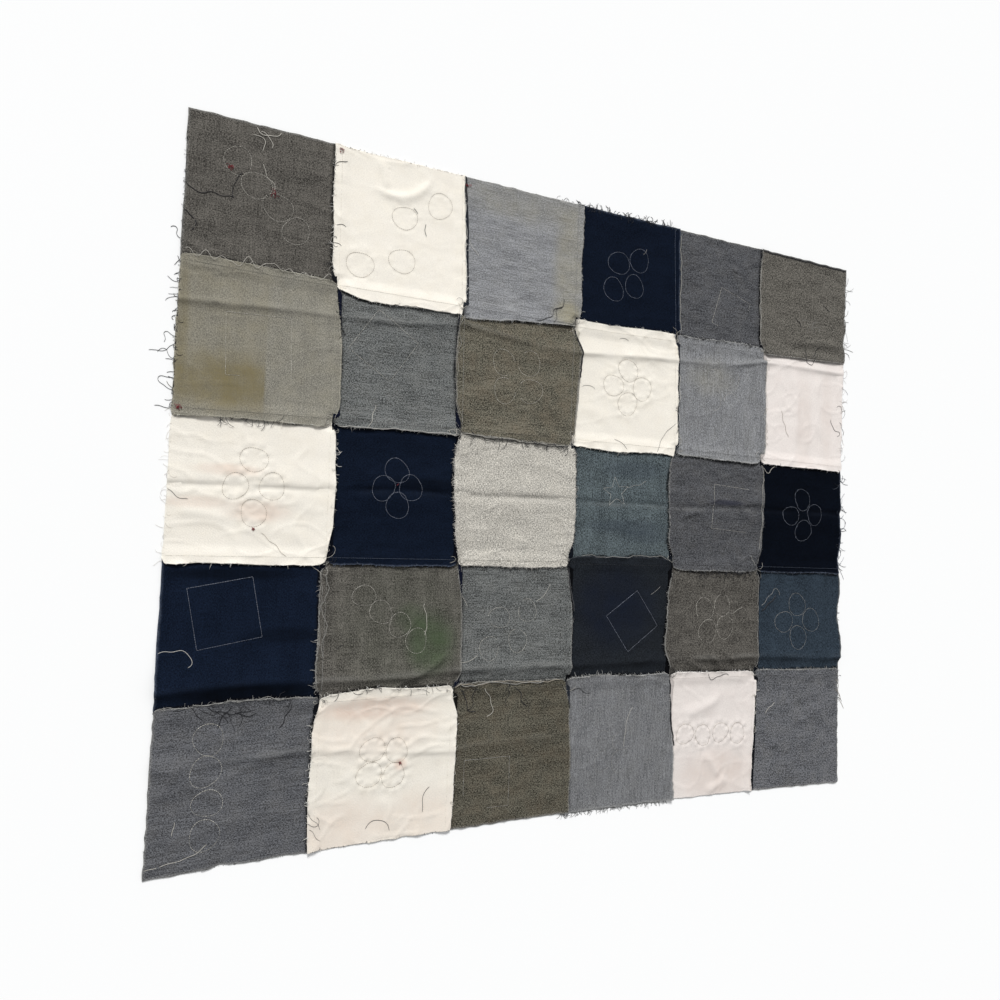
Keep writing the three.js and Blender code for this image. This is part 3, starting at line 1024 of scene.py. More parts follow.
@dataclass(frozen=True)
class ClothMaterial:
    """The shader of one cloth, laid out on the cloth's own unrolled sizes in metres."""

    finish: ClothFinish
    pitch: float = 1.25
    slub_length: float = 34.0
    slub_width: float = 1.4
    fleck_length: float = 3.0
    fleck_width: float = 0.9
    blotch_size: float = 26.0
    band_length: float = 85.0
    band_width: float = 24.0
    slack_size: float = 17.0

    def build(self) -> Material:
        """Make the material: crossing slubs, grain and fading, then pale fold bands partly of rubbed wear
        and partly painted highlight, cut edges, painted shade, stains and painted shade bands.

        Returns:
            The finished material.
        """
        f = self.finish
        g = Graph(f.slot)
        place = g.node("ShaderNodeUVMap", {"uv_map": "cloth"})
        mm = g.scaled(place, (1000.0, 1000.0, 1000.0))
        weave = self._weave(g, mm)
        long_slubs = g.cells(mm, self.slub_length, self.slub_width)
        cross = g.cells(mm, self.slub_width, self.slub_length)
        spots = g.node("ShaderNodeVectorMath", {"operation": "SCALE"}, mm, Scale=g.mark("fineness"))
        flecks = g.cells(spots, self.fleck_length, self.fleck_width) * 1.2
        flecks = flecks + g.cells(spots, self.fleck_width, self.fleck_length) * 0.8
        blotch = g.cells(mm, self.blotch_size, self.blotch_size, 4.0)
        bands = g.cells(mm, self.band_length, self.band_width, 3.0)
        base = linear(f.color)
        dark = mixed(base, (0.0, 0.0, 0.0), f.grain)
        light = tuple(min(c * (1 + f.grain), 1.0) for c in base)
        tone = 0.5 + flecks * 6.0 + bands * 1.2 + blotch * 0.5 + weave * 0.1
        tone = tone + long_slubs * (6.0 * f.slubs) + cross * (6.0 * f.cross_slubs)
        color = g.mix(tone.clipped(), dark, light)
        color = g.mix((blotch * 2.6 + 0.2).clipped() * f.fading, color, linear(f.faded))
        color = g.node("ShaderNodeVectorMath", {"operation": "SCALE"}, color, Scale=g.mark("wear"))
        # Pale band above fold crests: partly rubbed wear, partly painted highlight
        color = g.mix(g.mark("rubbed") * f.rub, color, mixed(base, linear(f.thread), 0.35))
        # Turned allowances: the cloth's right side, partly painted shade in the notches
        color = g.mix(g.mark("right_side"), color, linear(f.right_side))
        color = g.mix(g.mark("raw") * (0.45 + flecks * 1.5).clipped(), color, linear(f.thread))
        # Stains, and painted shade bands on some squares
        ragged_stain_and_shade = (g.mark("stain") * (1.0 + blotch * 1.4 + flecks * 1.6)).clipped()
        color = g.mix(ragged_stain_and_shade, color, linear(f.stain))
        # Painted shade by the seams, at crossings, on turned allowances and below fold crests
        soil = (g.mark("soil") * (0.85 + flecks)).clipped()
        color = g.mix(soil, color, mixed(base, (0.004, 0.004, 0.005), 0.97))
        slack = g.cells(mm, self.slack_size, self.slack_size, 3.0)
        height = weave * 0.3 + long_slubs * f.slubs + cross * f.cross_slubs + flecks * 1.2 + slack * 1.2
        normal = g.node("ShaderNodeBump", {}, Strength=0.5, Distance=0.0008, Height=height)
        shader = g.node(
            "ShaderNodeBsdfPrincipled", {}, Base_Color=color, Normal=normal, Specular_IOR_Level=0.04,
            Roughness=(f.roughness + flecks * 0.2).clipped(),
        )
        return g.finish(shader)

    def _weave(self, g: Graph, mm: Signal) -> Signal:
        """Draw the crossing threads: diagonal ribs for twill, a checker of humps for the others."""
        per_thread = 2 * math.pi / self.pitch
        u = g.node("ShaderNodeSeparateXYZ", {}, mm, output="X")
        v = g.node("ShaderNodeSeparateXYZ", {}, mm, output="Y")
        if self.finish.weave is Weave.TWILL:
            return ((u + v * 0.85) * (per_thread * 0.75)).sine()
        wider = 0.55 if self.finish.weave is Weave.CANVAS else 1.0
        return (u * (per_thread * wider)).sine() * (v * (per_thread * wider)).sine()


def thread_material() -> Material:
    """Make the material of all loose and sewn thread: the dye kept on the mesh, with a fine uneven twist.

    Returns:
        The finished material.
    """
    g = Graph("cut_thread")
    place = g.node("ShaderNodeTexCoord", {}, output="Object")
    fluff = g.noise(g.scaled(place, (1400.0, 1400.0, 1400.0)), 2.0)
    dye = g.node("ShaderNodeAttribute", {"attribute_name": "dye"}, output="Color")
    color = g.mix((fluff * 1.2 + 0.2).clipped(), dye, g.mix(0.35, dye, (0.0, 0.0, 0.0)))
    normal = g.node("ShaderNodeBump", {}, Strength=0.4, Distance=0.0002, Height=fluff)
    shader = g.node(
        "ShaderNodeBsdfPrincipled", {}, Base_Color=color, Normal=normal, Sheen_Weight=0.2,
        Roughness=(0.8 + fluff * 0.2).clipped(), Specular_IOR_Level=0.25,
    )
    return g.finish(shader)


@dataclass
class Faces:
    """Faces as one run of point numbers with the size of each face."""

    loops: list[Array] = field(default_factory=list)
    sizes: list[Array] = field(default_factory=list)

    def add(self, faces: Array) -> None:
        """Add faces of one size, one to a line of the array."""
        self.loops.append(faces.reshape(-1))
        self.sizes.append(np.full(faces.shape[0], faces.shape[1]))

    def add_grid(self, index: Array) -> None:
        """Add the quads of a grid of point numbers, seen from where its second axis is left of its first."""
        corners = [index[:-1, :-1], index[1:, :-1], index[1:, 1:], index[:-1, 1:]]
        self.add(np.stack([c.reshape(-1) for c in corners], 1))


def write_mesh(name: str, points: Array, faces: Faces, material: Material) -> Piece:
    """Put points and faces into a new smooth mesh object in the frame.

    Args:
        name: The piece's name.
        points: Points in plan millimetres, one to a line.
        faces: The faces.
        material: The piece's material.

    Returns:
        The new object, riding on the root body.
    """
    mesh = bpy.data.meshes.new(name)
    loops = np.concatenate(faces.loops).astype(np.int32)
    sizes = np.concatenate(faces.sizes).astype(np.int32)
    placed = (points + (*PLAN_SHIFT, 0.0)) * MM
    mesh.vertices.add(len(points))
    mesh.vertices.foreach_set("co", placed.astype(np.float32).reshape(-1))
    mesh.loops.add(loops.size)
    mesh.loops.foreach_set("vertex_index", loops)
    mesh.polygons.add(sizes.size)
    mesh.polygons.foreach_set("loop_start", (np.cumsum(sizes) - sizes).astype(np.int32))
    mesh.update(calc_edges=True)
    mesh.polygons.foreach_set("use_smooth", np.ones(sizes.size, dtype=bool))
    mesh.materials.append(material)
    piece = bpy.data.objects.new(name, mesh)
    bpy.context.scene.collection.objects.link(piece)
    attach(piece, "root")
    return piece


def keep_number(piece: Piece, name: str, values: Array) -> None:
    """Keep one number at each point of a piece for its material."""
    layer = piece.data.attributes.new(name, "FLOAT", "POINT")
    layer.data.foreach_set("value", values.astype(np.float32).reshape(-1))


@dataclass(frozen=True)
class Bights:
    """Scallops along an outer edge: a cosine wave that fades out either side of a middle."""

    depth: float
    crest: float
    wave: float
    middle: float
    half: float
    fade: float

    def at(self, along: Array) -> Array:
        """Give how far the edge stands out at places along it."""
        waves = self.depth * np.cos((along - self.crest) * 2 * math.pi / self.wave)
        return waves * smooth((self.half - np.abs(along - self.middle)) / self.fade)


RIGHT_BIGHTS = (Bights(4.0, -140, 102, -140, 170, 60), Bights(2.6, 378, 54, 350, 60, 25))
# Depth, place and width of each dent
BOTTOM_DENTS = ((3.0, -515, 16), (2.2, -442, 20))


@dataclass
class Square:
    """One cut square: a thin closed sheet with its allowances lapped over, turned back or left raw."""

    row: int
    column: int
    plan: SeamPlan
    relief: Relief
    thickness: float = 0.9
    off_floor: float = 0.15
    inset: float = 20.0
    lip_rise: float = 2.35
    turned_rise: float = 0.2
    lip_curl: float = 1.0
    turned_round: float = 5.0
    turned_least: float = 0.3
    edge_nick: float = 0.5
    edge_nick_length: float = 26.0
    # Painted shade by the seams: its gap from and width beside a lip, and its reach in the notches
    soil_gap: float = 1.0
    soil_width: float = 2.3
    notch_width: float = 5.0
    steps: int = 56
    thin: int = 8
    flat: float = 0.218
    turned_top: Cell = (0, COLUMNS - 1)

    def __post_init__(self) -> None:
        """Work out the laps, stations and grid points."""
        self.laps = {side: self.plan.lap(self.row, self.column, side) for side in Side}
        profiles = {side: EdgeProfile.of(lap) for side, lap in self.laps.items()}
        self.across = Stations.between(profiles[Side.LEFT], profiles[Side.RIGHT], self.steps, self.thin)
        self.up = Stations.between(profiles[Side.BOTTOM], profiles[Side.TOP], self.steps, self.thin)
        self._lay_out()

    @property
    def cloth(self) -> ClothFinish:
        """Give the square's cloth."""
        return LAYOUT[self.row][self.column].value

    @property
    def node(self) -> str:
        """Give the name of the solid that the sheet stands for."""
        return f"patch_r{self.row + 1}_c{self.column + 1}"

    def _lay_out(self) -> None:
        """Place the grid on the seam lines, which bend with each other's places, so it steps to them."""
        plan = self.plan
        mid = plan.middle(self.row, self.column)
        shape = (self.across.end.size, self.up.end.size)
        x = np.full(shape, mid[0])
        y = np.full(shape, mid[1])
        for _ in range(5):
            x_low, x_high = plan.column_line(self.column, y), plan.column_line(self.column + 1, y)
            y_low, y_high = plan.row_line(self.row + 1, x), plan.row_line(self.row, x)
            widths_x = self._side_width(Side.LEFT, x_low, y), self._side_width(Side.RIGHT, x_high, y)
            widths_y = self._side_width(Side.BOTTOM, x, y_low), self._side_width(Side.TOP, x, y_high)
            x, roll_x = self._along(self.across, 0, x_low, x_high, widths_x)
            y, roll_y = self._along(self.up, 1, y_low, y_high, widths_y)
        self.x, self.y = x, y
        self.roll = np.stack([roll_x, roll_y], -1)
        self.z = self.relief.height(x, y) + self.thickness + self.off_floor + self._lift(x, y)

    def _along(
        self, st: Stations, axis: int, low: Array, high: Array, widths: tuple[Array, Array]
    ) -> tuple[Array, Array]:
        """Place stations between two seam lines.

        Args:
            st: The stations.
            axis: 0 for stations across, 1 for stations up.
            low: The low seam line at each grid point.
            high: The high seam line at each grid point.
            widths: Width of the low and the high allowance at each grid point.

        Returns:
            The place of each grid point, and its distance along the unrolled cloth from the middle.
        """
        wide = (slice(None), None) if axis == 0 else (None, slice(None))
        end, share, own, fold = (a[wide] for a in (st.end, st.share, st.own, st.fold))
        inner = low + self.inset + (high - low - 2 * self.inset) * share
        at_low = low - own - fold * widths[0]
        at_high = high + own + fold * widths[1]
        place = np.where(end < 0, at_low, np.where(end > 0, at_high, inner))
        half = (high - low) / 2
        past = half + own + np.abs(fold) * np.where(end < 0, widths[0], widths[1])
        roll = np.where(end == 0, (share - 0.5) * 2 * (half - self.inset), end * past)
        return place, roll

    def _seam(self, side: Side) -> int:
        """Give the number of the seam on a side."""
        return self.plan.seam(self.row, self.column, side)

    def _neighbour_lip(self, side: Side, x: Array, y: Array) -> Array:
        """Give the width of the lip on the seam of a side."""
        seam = self._seam(side)
        if side.upright:
            return self.plan.column_lip(seam, self.row, x, y)
        return self.plan.row_lip(seam, self.column, x)

    def _side_width(self, side: Side, x: Array, y: Array) -> Array:
        """Give the width of this square's own allowance on a side.

        Args:
            side: The side.
            x: Places across, on the seam line for an upright side.
            y: Places up, on the seam line for a level side.

        Returns:
            The width of the lip or of the turned allowance, or how far an outer edge waves outwards.
        """
        lap = self.laps[side]
        if lap is Lap.RAW:
            return self._edge_wave(side, x, y)
        if lap is Lap.OVER:
            return self._neighbour_lip(side, x, y)
        seam = self._seam(side)
        if not side.upright:
            return self.plan.row_lip(seam, self.column, x) * self.plan.turned_share
        upper, lower = self.plan.column_ends(seam, self.row, x, y, False)
        width = self.plan.turned(Seed.COLUMN_LIP + seam * 10 + self.row, y)
        ends = rounded(upper / self.turned_round), rounded(lower / self.turned_round)
        return width * ends[0] * ends[1] + self.turned_least

    def _edge_wave(self, side: Side, x: Array, y: Array) -> Array:
        """Wave an outer edge: a little everywhere, in bights on the right and dents at the lower left."""
        seed = Seed.UPRIGHT_NICK if side.upright else Seed.LEVEL_NICK
        along = y * np.ones_like(x) if side.upright else x * np.ones_like(y)
        nicks = self.edge_nick * Unevenness(seed, self.edge_nick_length).at(along)
        if side is Side.RIGHT:
            return nicks + sum(bights.at(y) for bights in RIGHT_BIGHTS)
        if side is Side.BOTTOM:
            dents = (deep * np.exp(-(((x - at) / wide) ** 2)) for deep, at, wide in BOTTOM_DENTS)
            return nicks - sum(dents)
        return nicks

    def _on_side(self, side: Side) -> tuple[Stations, tuple, Array]:
        """Give a side's stations, how they spread over the grid, and which points lie on it."""
        st = self.across if side.upright else self.up
        wide = (slice(None), None) if side.upright else (None, slice(None))
        return st, wide, (st.end == (-1 if side in (Side.LEFT, Side.BOTTOM) else 1))[wide]

    def _lift(self, x: Array, y: Array) -> Array:
        """Raise the lips over what lies below, curl their cut edges and step the turned allowances up."""
        total = np.zeros_like(x)
        for side in Side:
            lap = self.laps[side]
            if lap is Lap.RAW:
                continue
            st, wide, here = self._on_side(side)
            level, fold = st.level[wide], st.fold[wide]
            if lap is Lap.UNDER:
                total += np.where(here, level * self.turned_rise, 0.0)
                continue
            ends, along = self._lip_ends(side, x, y)
            seed = Seed.LIP_CURL + self._seam(side) * 10 + self.row + self.column
            curl = self.lip_curl * np.clip(0.9 + 0.8 * Unevenness(seed, 48).at(along), 0.0, 2.4)
            total += np.where(here, (level * self.lip_rise + fold**2 * curl) * ends, 0.0)
        return total

    def _lip_ends(self, side: Side, x: Array, y: Array) -> tuple[Array, Array]:
        """Give how far a lip is lifted along its length, and the place along it."""
        if side.upright:
            upper, lower = self.plan.column_ends(self._seam(side), self.row, x, y, True)
            inner = ((upper, self.row > 0), (lower, self.row < ROWS - 1))
            return math.prod(smooth(past / 8) for past, is_inner in inner if is_inner), y
        start = x - self.plan.column_line(self.column, y)
        end = self.plan.column_line(self.column + 1, y) - x
        return 0.45 + 0.55 * smooth(start / 12) * smooth(end / 12), x

    def _marks(self) -> dict[str, Array]:
        """Work out the cut edges, right-side strips partly darkened as painted shade, painted shade by the
        seams and below folds, stains and painted shade bands, and pale fold bands, partly painted highlight.

        Returns:
            One number for each grid point under each mark's name.
        """
        x, y = self.x, self.y
        raw = np.maximum(self.across.raw[:, None], self.up.raw[None, :]) * np.ones_like(x)
        turned = np.zeros_like(x)
        soil = np.zeros_like(x)
        for side in Side:
            if self.laps[side] is Lap.RAW:
                continue
            st, wide, here = self._on_side(side)
            own, fold = st.own[wide], st.fold[wide]
            if self.laps[side] is Lap.UNDER:
                turned = np.where(here & (fold < -0.05), 1.0, turned)
                lip = self._neighbour_lip(side, x, y)
                along = y if side.upright else x
                uneven = Unevenness(Seed.SOIL + self.row + 7 * self.column, 70).at(along)
                patchy = np.clip(0.8 + 0.45 * uneven, 0.2, 1.0)
                # Painted shade beside the neighbour's lip and in the notches at the crossings
                beside = np.exp(-(((-own - lip - self.soil_gap) / self.soil_width) ** 2)) * (fold == 0)
                beside = beside * smooth(lip / 3.0) * patchy
                notch = np.exp(-((own / self.notch_width) ** 2)) * 0.9
                soil = np.where(here, np.maximum(soil, np.maximum(beside, notch)), soil)
        # Turned allowances get painted shade, as under a lip
        soil = np.where(turned > 0, 0.35, soil)
        marks = {"raw": raw * (1 - turned), "right_side": turned, "soil": soil}
        # Pale bands above fold crests, partly rubbed wear and partly painted highlight
        marks["rubbed"], fold_shade = self.relief.fold_marks(x, y)
        # Painted shade below fold crests joins it
        marks["soil"] = np.maximum(soil, fold_shade * 0.32)
        marks["wear"] = np.full_like(x, WEAR.get((self.row, self.column), 1.0))
        marks["fineness"] = np.full_like(x, FLECK_FINENESS[self.column])
        if (self.row, self.column) == self.turned_top:
            at_top = (self.up.end == 1) & (self.up.own > -4.5)
            marks["right_side"] = np.where(at_top[None, :], 1.0, turned)
        mid = self.plan.middle(self.row, self.column)
        # Stains, and painted shade bands on some squares
        own_stains_and_shades = (s for s in STAINS_AND_SHADES if (s.row, s.column) == (self.row, self.column))
        stain = sum((s.at(x - mid[0], y - mid[1]) for s in own_stains_and_shades), np.zeros_like(x))
        marks["stain"] = np.clip(stain, 0.0, 1.0)
        return marks

    def build(self, material: Material) -> Piece:
        """Write the sheet: the seen side as a fine grid, the underside a thickness below it on fewer lines.

        Args:
            material: The cloth's material.

        Returns:
            The square's object, standing for its solid.
        """
        top = np.stack([self.x, self.y, self.z], -1)
        normal = np.cross(np.gradient(top, axis=0), np.gradient(top, axis=1))
        normal /= np.linalg.norm(normal, axis=-1, keepdims=True) + 1e-9
        i, j = self.across.kept, self.up.kept
        inner = (self.across.end == 0)[:, None] & (self.up.end == 0)[None, :]
        straight_down = np.stack([self.x, self.y, self._lowest() - self.thickness], -1)
        below = np.where(inner[..., None], straight_down, top - normal * self.thickness)[np.ix_(i, j)]
        below[..., 2] = np.maximum(below[..., 2], 0.05)
        n_across, n_up = self.x.shape
        upper = np.arange(n_across * n_up).reshape(n_across, n_up)
        under = upper.size + np.arange(i.size * j.size).reshape(i.size, j.size)
        faces = Faces()
        faces.add_grid(upper)
        faces.add_grid(under[:, ::-1])
        self._rim(faces, upper[:, 0], under[:, 0], i, False)
        self._rim(faces, upper[:, -1], under[:, -1], i, True)
        self._rim(faces, upper[0, :], under[0, :], j, True)
        self._rim(faces, upper[-1, :], under[-1, :], j, False)
        points = np.concatenate([top.reshape(-1, 3), below.reshape(-1, 3)])
        piece = write_mesh(f"square_r{self.row + 1}_c{self.column + 1}", points, faces, material)
        self._keep_cloth(piece, faces, i, j)
        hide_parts(self.node)
        return piece

    def _lowest(self) -> Array:
        """Give the lowest height about each grid point, as far as the underside's lines lie apart."""
        low = self.z
        for axis in (0, 1):
            low = np.min([np.roll(low, step, axis) for step in range(-self.thin, self.thin + 1)], axis=0)
        return low

    def _rim(self, faces: Faces, upper: Array, under: Array, kept: Array, flip: bool) -> None:
        """Close one edge: a face for each pair of kept lines, down from the fine edge to the coarse one."""
        for k in range(kept.size - 1):
            face = np.concatenate([under[[k, k + 1]], upper[kept[k]:kept[k + 1] + 1][::-1]])
            faces.add((face[::-1] if flip else face)[None, :])

    def _keep_cloth(self, piece: Piece, faces: Faces, i: Array, j: Array) -> None:
        """Keep the unrolled sizes as a UV map and the marks as numbers, on both sides of the sheet."""
        def both(values: Array) -> Array:
            """Repeat a grid's values for the underside's points."""
            tail = values.shape[2:]
            return np.concatenate([values.reshape(-1, *tail), values[np.ix_(i, j)].reshape(-1, *tail)])

        roll = self.roll[..., ::-1] if (self.row, self.column) in UPRIGHT_GRAIN else self.roll
        uv = both(roll * MM + (1.7 * self.row + 0.31, 2.3 * self.column + 0.57))
        layer = piece.data.uv_layers.new(name="cloth")
        loops = np.concatenate(faces.loops)
        layer.data.foreach_set("uv", uv[loops].astype(np.float32).reshape(-1))
        for name, values in self._marks().items():
            keep_number(piece, name, both(values))


@dataclass(frozen=True)
class StainAndShade(OnSquare):
    """A soft patch on one square, for stains and painted shade bands: its middle from the square's middle,
    half sizes, and strength.
    """

    x: float
    y: float
    half_width: float
    half_height: float
    strength: float
    cut_right: float = 1000.0
    cut_fade: float = 4.0

    def at(self, x: Array, y: Array) -> Array:
        """Fade from the patch's middle by the distance in half sizes, and end at the line on its right.

        Args:
            x: Places across, from the square's middle.
            y: Places up, from the square's middle.

        Returns:
            Strength from 0 to 1.
        """
        away = np.sqrt(((x - self.x) / self.half_width) ** 2 + ((y - self.y) / self.half_height) ** 2)
        return self.strength * smooth(1.5 - away) * smooth((self.cut_right - x) / self.cut_fade)


# Stains and painted shade bands by square: middle, half sizes, strength and the line where it is cut off
STAINS_AND_SHADES = rows_of(StainAndShade, {
    (1, 0): (
        (-45, -62, 85, 36, 0.42, 13), (-16, -62, 60, 36, 0.14, 13), (-50, 20, 90, 110, 0.14, 13),
        (-98, 10, 7, 90, 0.25),
    ),
    (1, 4): ((-20, 40, 50, 30, 0.12),),
    # (1, 5): painted shade of upright creases
    (1, 5): ((2, -30, 18, 90, 0.16), (62, -10, 14, 90, 0.14)),
    # (2, 1): painted shade on the upper flank of the fold's valley
    (2, 1): ((45, 15, 60, 8, 0.4),),
    # (2, 3): painted shade bands
    (2, 3): ((10, -38, 75, 12, 0.3), (45, -55, 45, 10, 0.25), (20, 60, 60, 16, 0.25)),
    # (2, 4): painted shade on the upper flank of the fold's valley
    (2, 4): ((20, 14, 36, 5, 0.5),),
    # (3, 0): darker bands; the lowest is painted shade below the fold's ridge
    (3, 0): ((-20, 80, 80, 8, 0.5), (55, -5, 45, 10, 0.4), (10, -84, 95, 14, 0.7)),
    (3, 1): ((62, -24, 34, 40, 0.46), (30, 14, 24, 20, 0.2), (20, 0, 100, 100, 0.1)),
    (3, 3): ((-10, 25, 70, 60, 0.45),),
    (0, 2): ((88, -10, 26, 95, 0.28), (0, 84, 100, 30, 0.16), (84, -88, 26, 20, 0.3)),
    # (2, 0): the first band is painted shade on the upper flank of the fold's valley
    (2, 0): ((-30, 20, 40, 8, 0.3), (10, -36, 40, 14, 0.3), (-70, -26, 40, 8, 0.25)),
    (4, 1): (
        (23, 3, 9, 8, 0.45), (-20, 88, 80, 14, 0.3), (-20, 60, 90, 40, 0.18), (-60, -80, 60, 40, 0.22),
        (60, -80, 60, 40, 0.18),
    ),
    (4, 4): ((20, -70, 80, 40, 0.3),),
})


@dataclass
class SurfaceMap:
    """The height of whatever lies on top, kept on an even raster of the plan for laying threads on it."""

    plan: SeamPlan
    step: float = 1.2
    margin: float = 40.0

    def __post_init__(self) -> None:
        """Start from the bare surface around the quilt top."""
        self.low = np.array([-self.plan.half_width - self.margin, -self.plan.half_height - self.margin])
        size = np.ceil(-2 * self.low / self.step).astype(int) + 1
        self.height = np.full(size, 0.1)

    def cover(self, square: Square) -> None:
        """Raise the raster to a square's sheet, refined by splitting each cell of its grid in three."""
        grid = np.stack([square.x, square.y, square.z], -1)
        for axis in (0, 1):
            first = np.take(grid, range(grid.shape[axis] - 1), axis)
            second = np.take(grid, range(1, grid.shape[axis]), axis)
            parts = [first + (second - first) * share for share in (0.0, 1 / 3, 2 / 3)]
            shape = list(first.shape)
            shape[axis] *= 3
            grid = np.stack(parts, axis + 1).reshape(shape)
        cell = np.rint((grid[..., :2] - self.low) / self.step).astype(int).reshape(-1, 2)
        np.maximum.at(self.height, (cell[:, 0], cell[:, 1]), grid[..., 2].reshape(-1))

    def top(self, places: Array) -> Array:
        """Read the height at places of the plan, blending the four nearest cells.

        Args:
            places: Places with X and Y last.

        Returns:
            Heights in millimetres.
        """
        at = (places[..., :2] - self.low) / self.step
        at = np.clip(at, 0, np.array(self.height.shape) - 1.001)
        cell = at.astype(int)
        fx, fy = (at - cell)[..., 0], (at - cell)[..., 1]
        i, j = cell[..., 0], cell[..., 1]
        h = self.height
        low = h[i, j] * (1 - fx) + h[i + 1, j] * fx
        high = h[i, j + 1] * (1 - fx) + h[i + 1, j + 1] * fx
        return low * (1 - fy) + high * fy


@dataclass
class ThreadPiece:
    """Many threads joined into one mesh, each a thin tube along its own path."""

    name: str
    sides: int = 4
    points: list[Array] = field(default_factory=list)
    dyes: list[Array] = field(default_factory=list)
    faces: Faces = field(default_factory=Faces)
    count: int = 0

    def add(self, paths: Array, radius: Array | float, dye: Array, taper: float = 0.6) -> None:
        """Carry a ring of points along each path and close its ends.

        Args:
            paths: Paths in plan millimetres: threads, points along, and X, Y, Z.
            radius: A radius for all or one for each thread.
            dye: One colour for all threads or one for each.
            taper: Share of the radius left at the ends.
        """
        n, k, _ = paths.shape
        if n == 0:
            return
        along = np.gradient(paths, axis=1)
        along /= np.linalg.norm(along, axis=-1, keepdims=True) + 1e-9
        side = np.cross(along, (0.0, 0.0, 1.0))
        side = np.where(np.linalg.norm(side, axis=-1, keepdims=True) < 1e-3, (1.0, 0.0, 0.0), side)
        side /= np.linalg.norm(side, axis=-1, keepdims=True)
        over = np.cross(side, along)
        thick = np.broadcast_to(np.asarray(radius, dtype=float).reshape(-1, 1), (n, k)).copy()
        thick[:, [0, -1]] *= taper
        turn = np.arange(self.sides) * 2 * math.pi / self.sides
        ring = side[:, :, None] * np.cos(turn)[:, None] + over[:, :, None] * np.sin(turn)[:, None]
        points = paths[:, :, None] + ring * thick[:, :, None, None]
        index = self.count + np.arange(n * k * self.sides).reshape(n, k, self.sides)
        after = np.roll(index, -1, axis=2)
        quads = np.stack([index[:, :-1], index[:, 1:], after[:, 1:], after[:, :-1]], -1)
        self.faces.add(quads.reshape(-1, 4))
        self.faces.add(index[:, 0, :])
        self.faces.add(index[:, -1, ::-1])
        self.points.append(points.reshape(-1, 3))
        colors = np.broadcast_to(np.asarray(dye, dtype=float).reshape(-1, 3), (n, 3))
        self.dyes.append(np.repeat(colors, k * self.sides, axis=0))
        self.count += n * k * self.sides

    def build(self, material: Material, stands_for: str | None = None) -> Piece:
        """Write the threads as one mesh with their dyes.

        Args:
            material: The thread material.
            stands_for: The solid that the threads replace, if any.

        Returns:
            The new object.
        """
        piece = write_mesh(self.name, np.concatenate(self.points), self.faces, material)
        dye = np.concatenate(self.dyes)
        layer = piece.data.attributes.new("dye", "FLOAT_COLOR", "POINT")
        layer.data.foreach_set("color", np.c_[dye, np.ones(len(dye))].astype(np.float32).reshape(-1))
        if stands_for:
            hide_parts(stands_for)
        return piece


def varied(dye: str | Color, count: int, rng: Chance, spread: float = 0.25) -> Array:
    """Give a linear colour for each of many threads, some lighter and some darker by up to the spread."""
    base = np.array(linear(dye) if isinstance(dye, str) else dye)
    return np.clip(base * rng.uniform(1 - spread, 1 + spread, (count, 1)), 0.0, 1.0)


def wander(start: Array, heading: Array, length: Array, curl: float, steps: int, rng: Chance) -> Array:
    """Draw wandering paths: each step turns a little more or less than the last.

    Args:
        start: Starting places.
        heading: Starting directions in radians.
        length: Lengths in millimetres.
        curl: How strongly the paths turn by chance, in radians over a whole path.
        steps: Points along each path.
        rng: The source of chance.

    Returns:
        Places on the plan: threads, points along, and X, Y.
    """
    n = len(start)
    bend = rng.normal(0, 1, (n, 1)) * curl / steps
    bend = bend + np.cumsum(rng.normal(0, curl / steps, (n, steps)), 1) * 0.5
    angle = np.asarray(heading).reshape(-1, 1) + np.cumsum(bend, 1)
    stride = np.asarray(length).reshape(-1, 1) / (steps - 1)
    moves = np.stack([np.cos(angle), np.sin(angle)], -1) * stride[..., None]
    moves[:, 0] = 0.0
    return np.asarray(start)[:, None, :] + np.cumsum(moves, 1)


def laid(paths: Array, surface: SurfaceMap, above: Array | float) -> Array:
    """Lay flat paths on the surface, a little above it, and give them with their heights."""
    return np.concatenate([paths, (surface.top(paths) + above)[..., None]], -1)


def sprung(paths: Array, surface: SurfaceMap, above: float) -> Array:
    """Hold paths out from the height of their roots, sinking with the square of the way to their tips.

    Args:
        paths: Places on the plan, from the roots.
        surface: The height of what lies on top.
        above: Height over it.

    Returns:
        The paths with their heights.
    """
    top = surface.top(paths)
    held = top[:, :1] + (top[:, -1:] - top[:, :1]) * np.linspace(0, 1, paths.shape[1]) ** 2
    return np.concatenate([paths, (np.maximum(top, held) + above)[..., None]], -1)


@dataclass
class Stitcher:
    """Running stitches along lines: each is a short thread that dips into the cloth at its ends."""

    surface: SurfaceMap
    pitch: float = 3.1
    gap: float = 0.5
    radius: float = 0.28
    dip: float = 0.05
    rise: float = 0.38

    def along(self, line: Array, closed: bool) -> Array:
        """Split a line into stitches of one pitch.

        Args:
            line: Places along the line, close together.
            closed: True where the line ends where it began.

        Returns:
            The stitches' paths: stitches, four points along, and X, Y, Z.
        """
        if closed:
            line = np.concatenate([line, line[:1]])
        travel = np.concatenate([[0], np.cumsum(np.linalg.norm(np.diff(line, axis=0), axis=1))])
        count = max(int(travel[-1] / self.pitch), 1)
        starts = np.arange(count) * travel[-1] / count
        shares = np.array([0.0, 0.3, 0.7, 1.0]) * (travel[-1] / count - self.gap)
        at = starts[:, None] + shares
        flat = np.stack([np.interp(at, travel, line[:, axis]) for axis in (0, 1)], -1)
        return laid(flat, self.surface, np.array([-self.dip, self.rise, self.rise, -self.dip]))


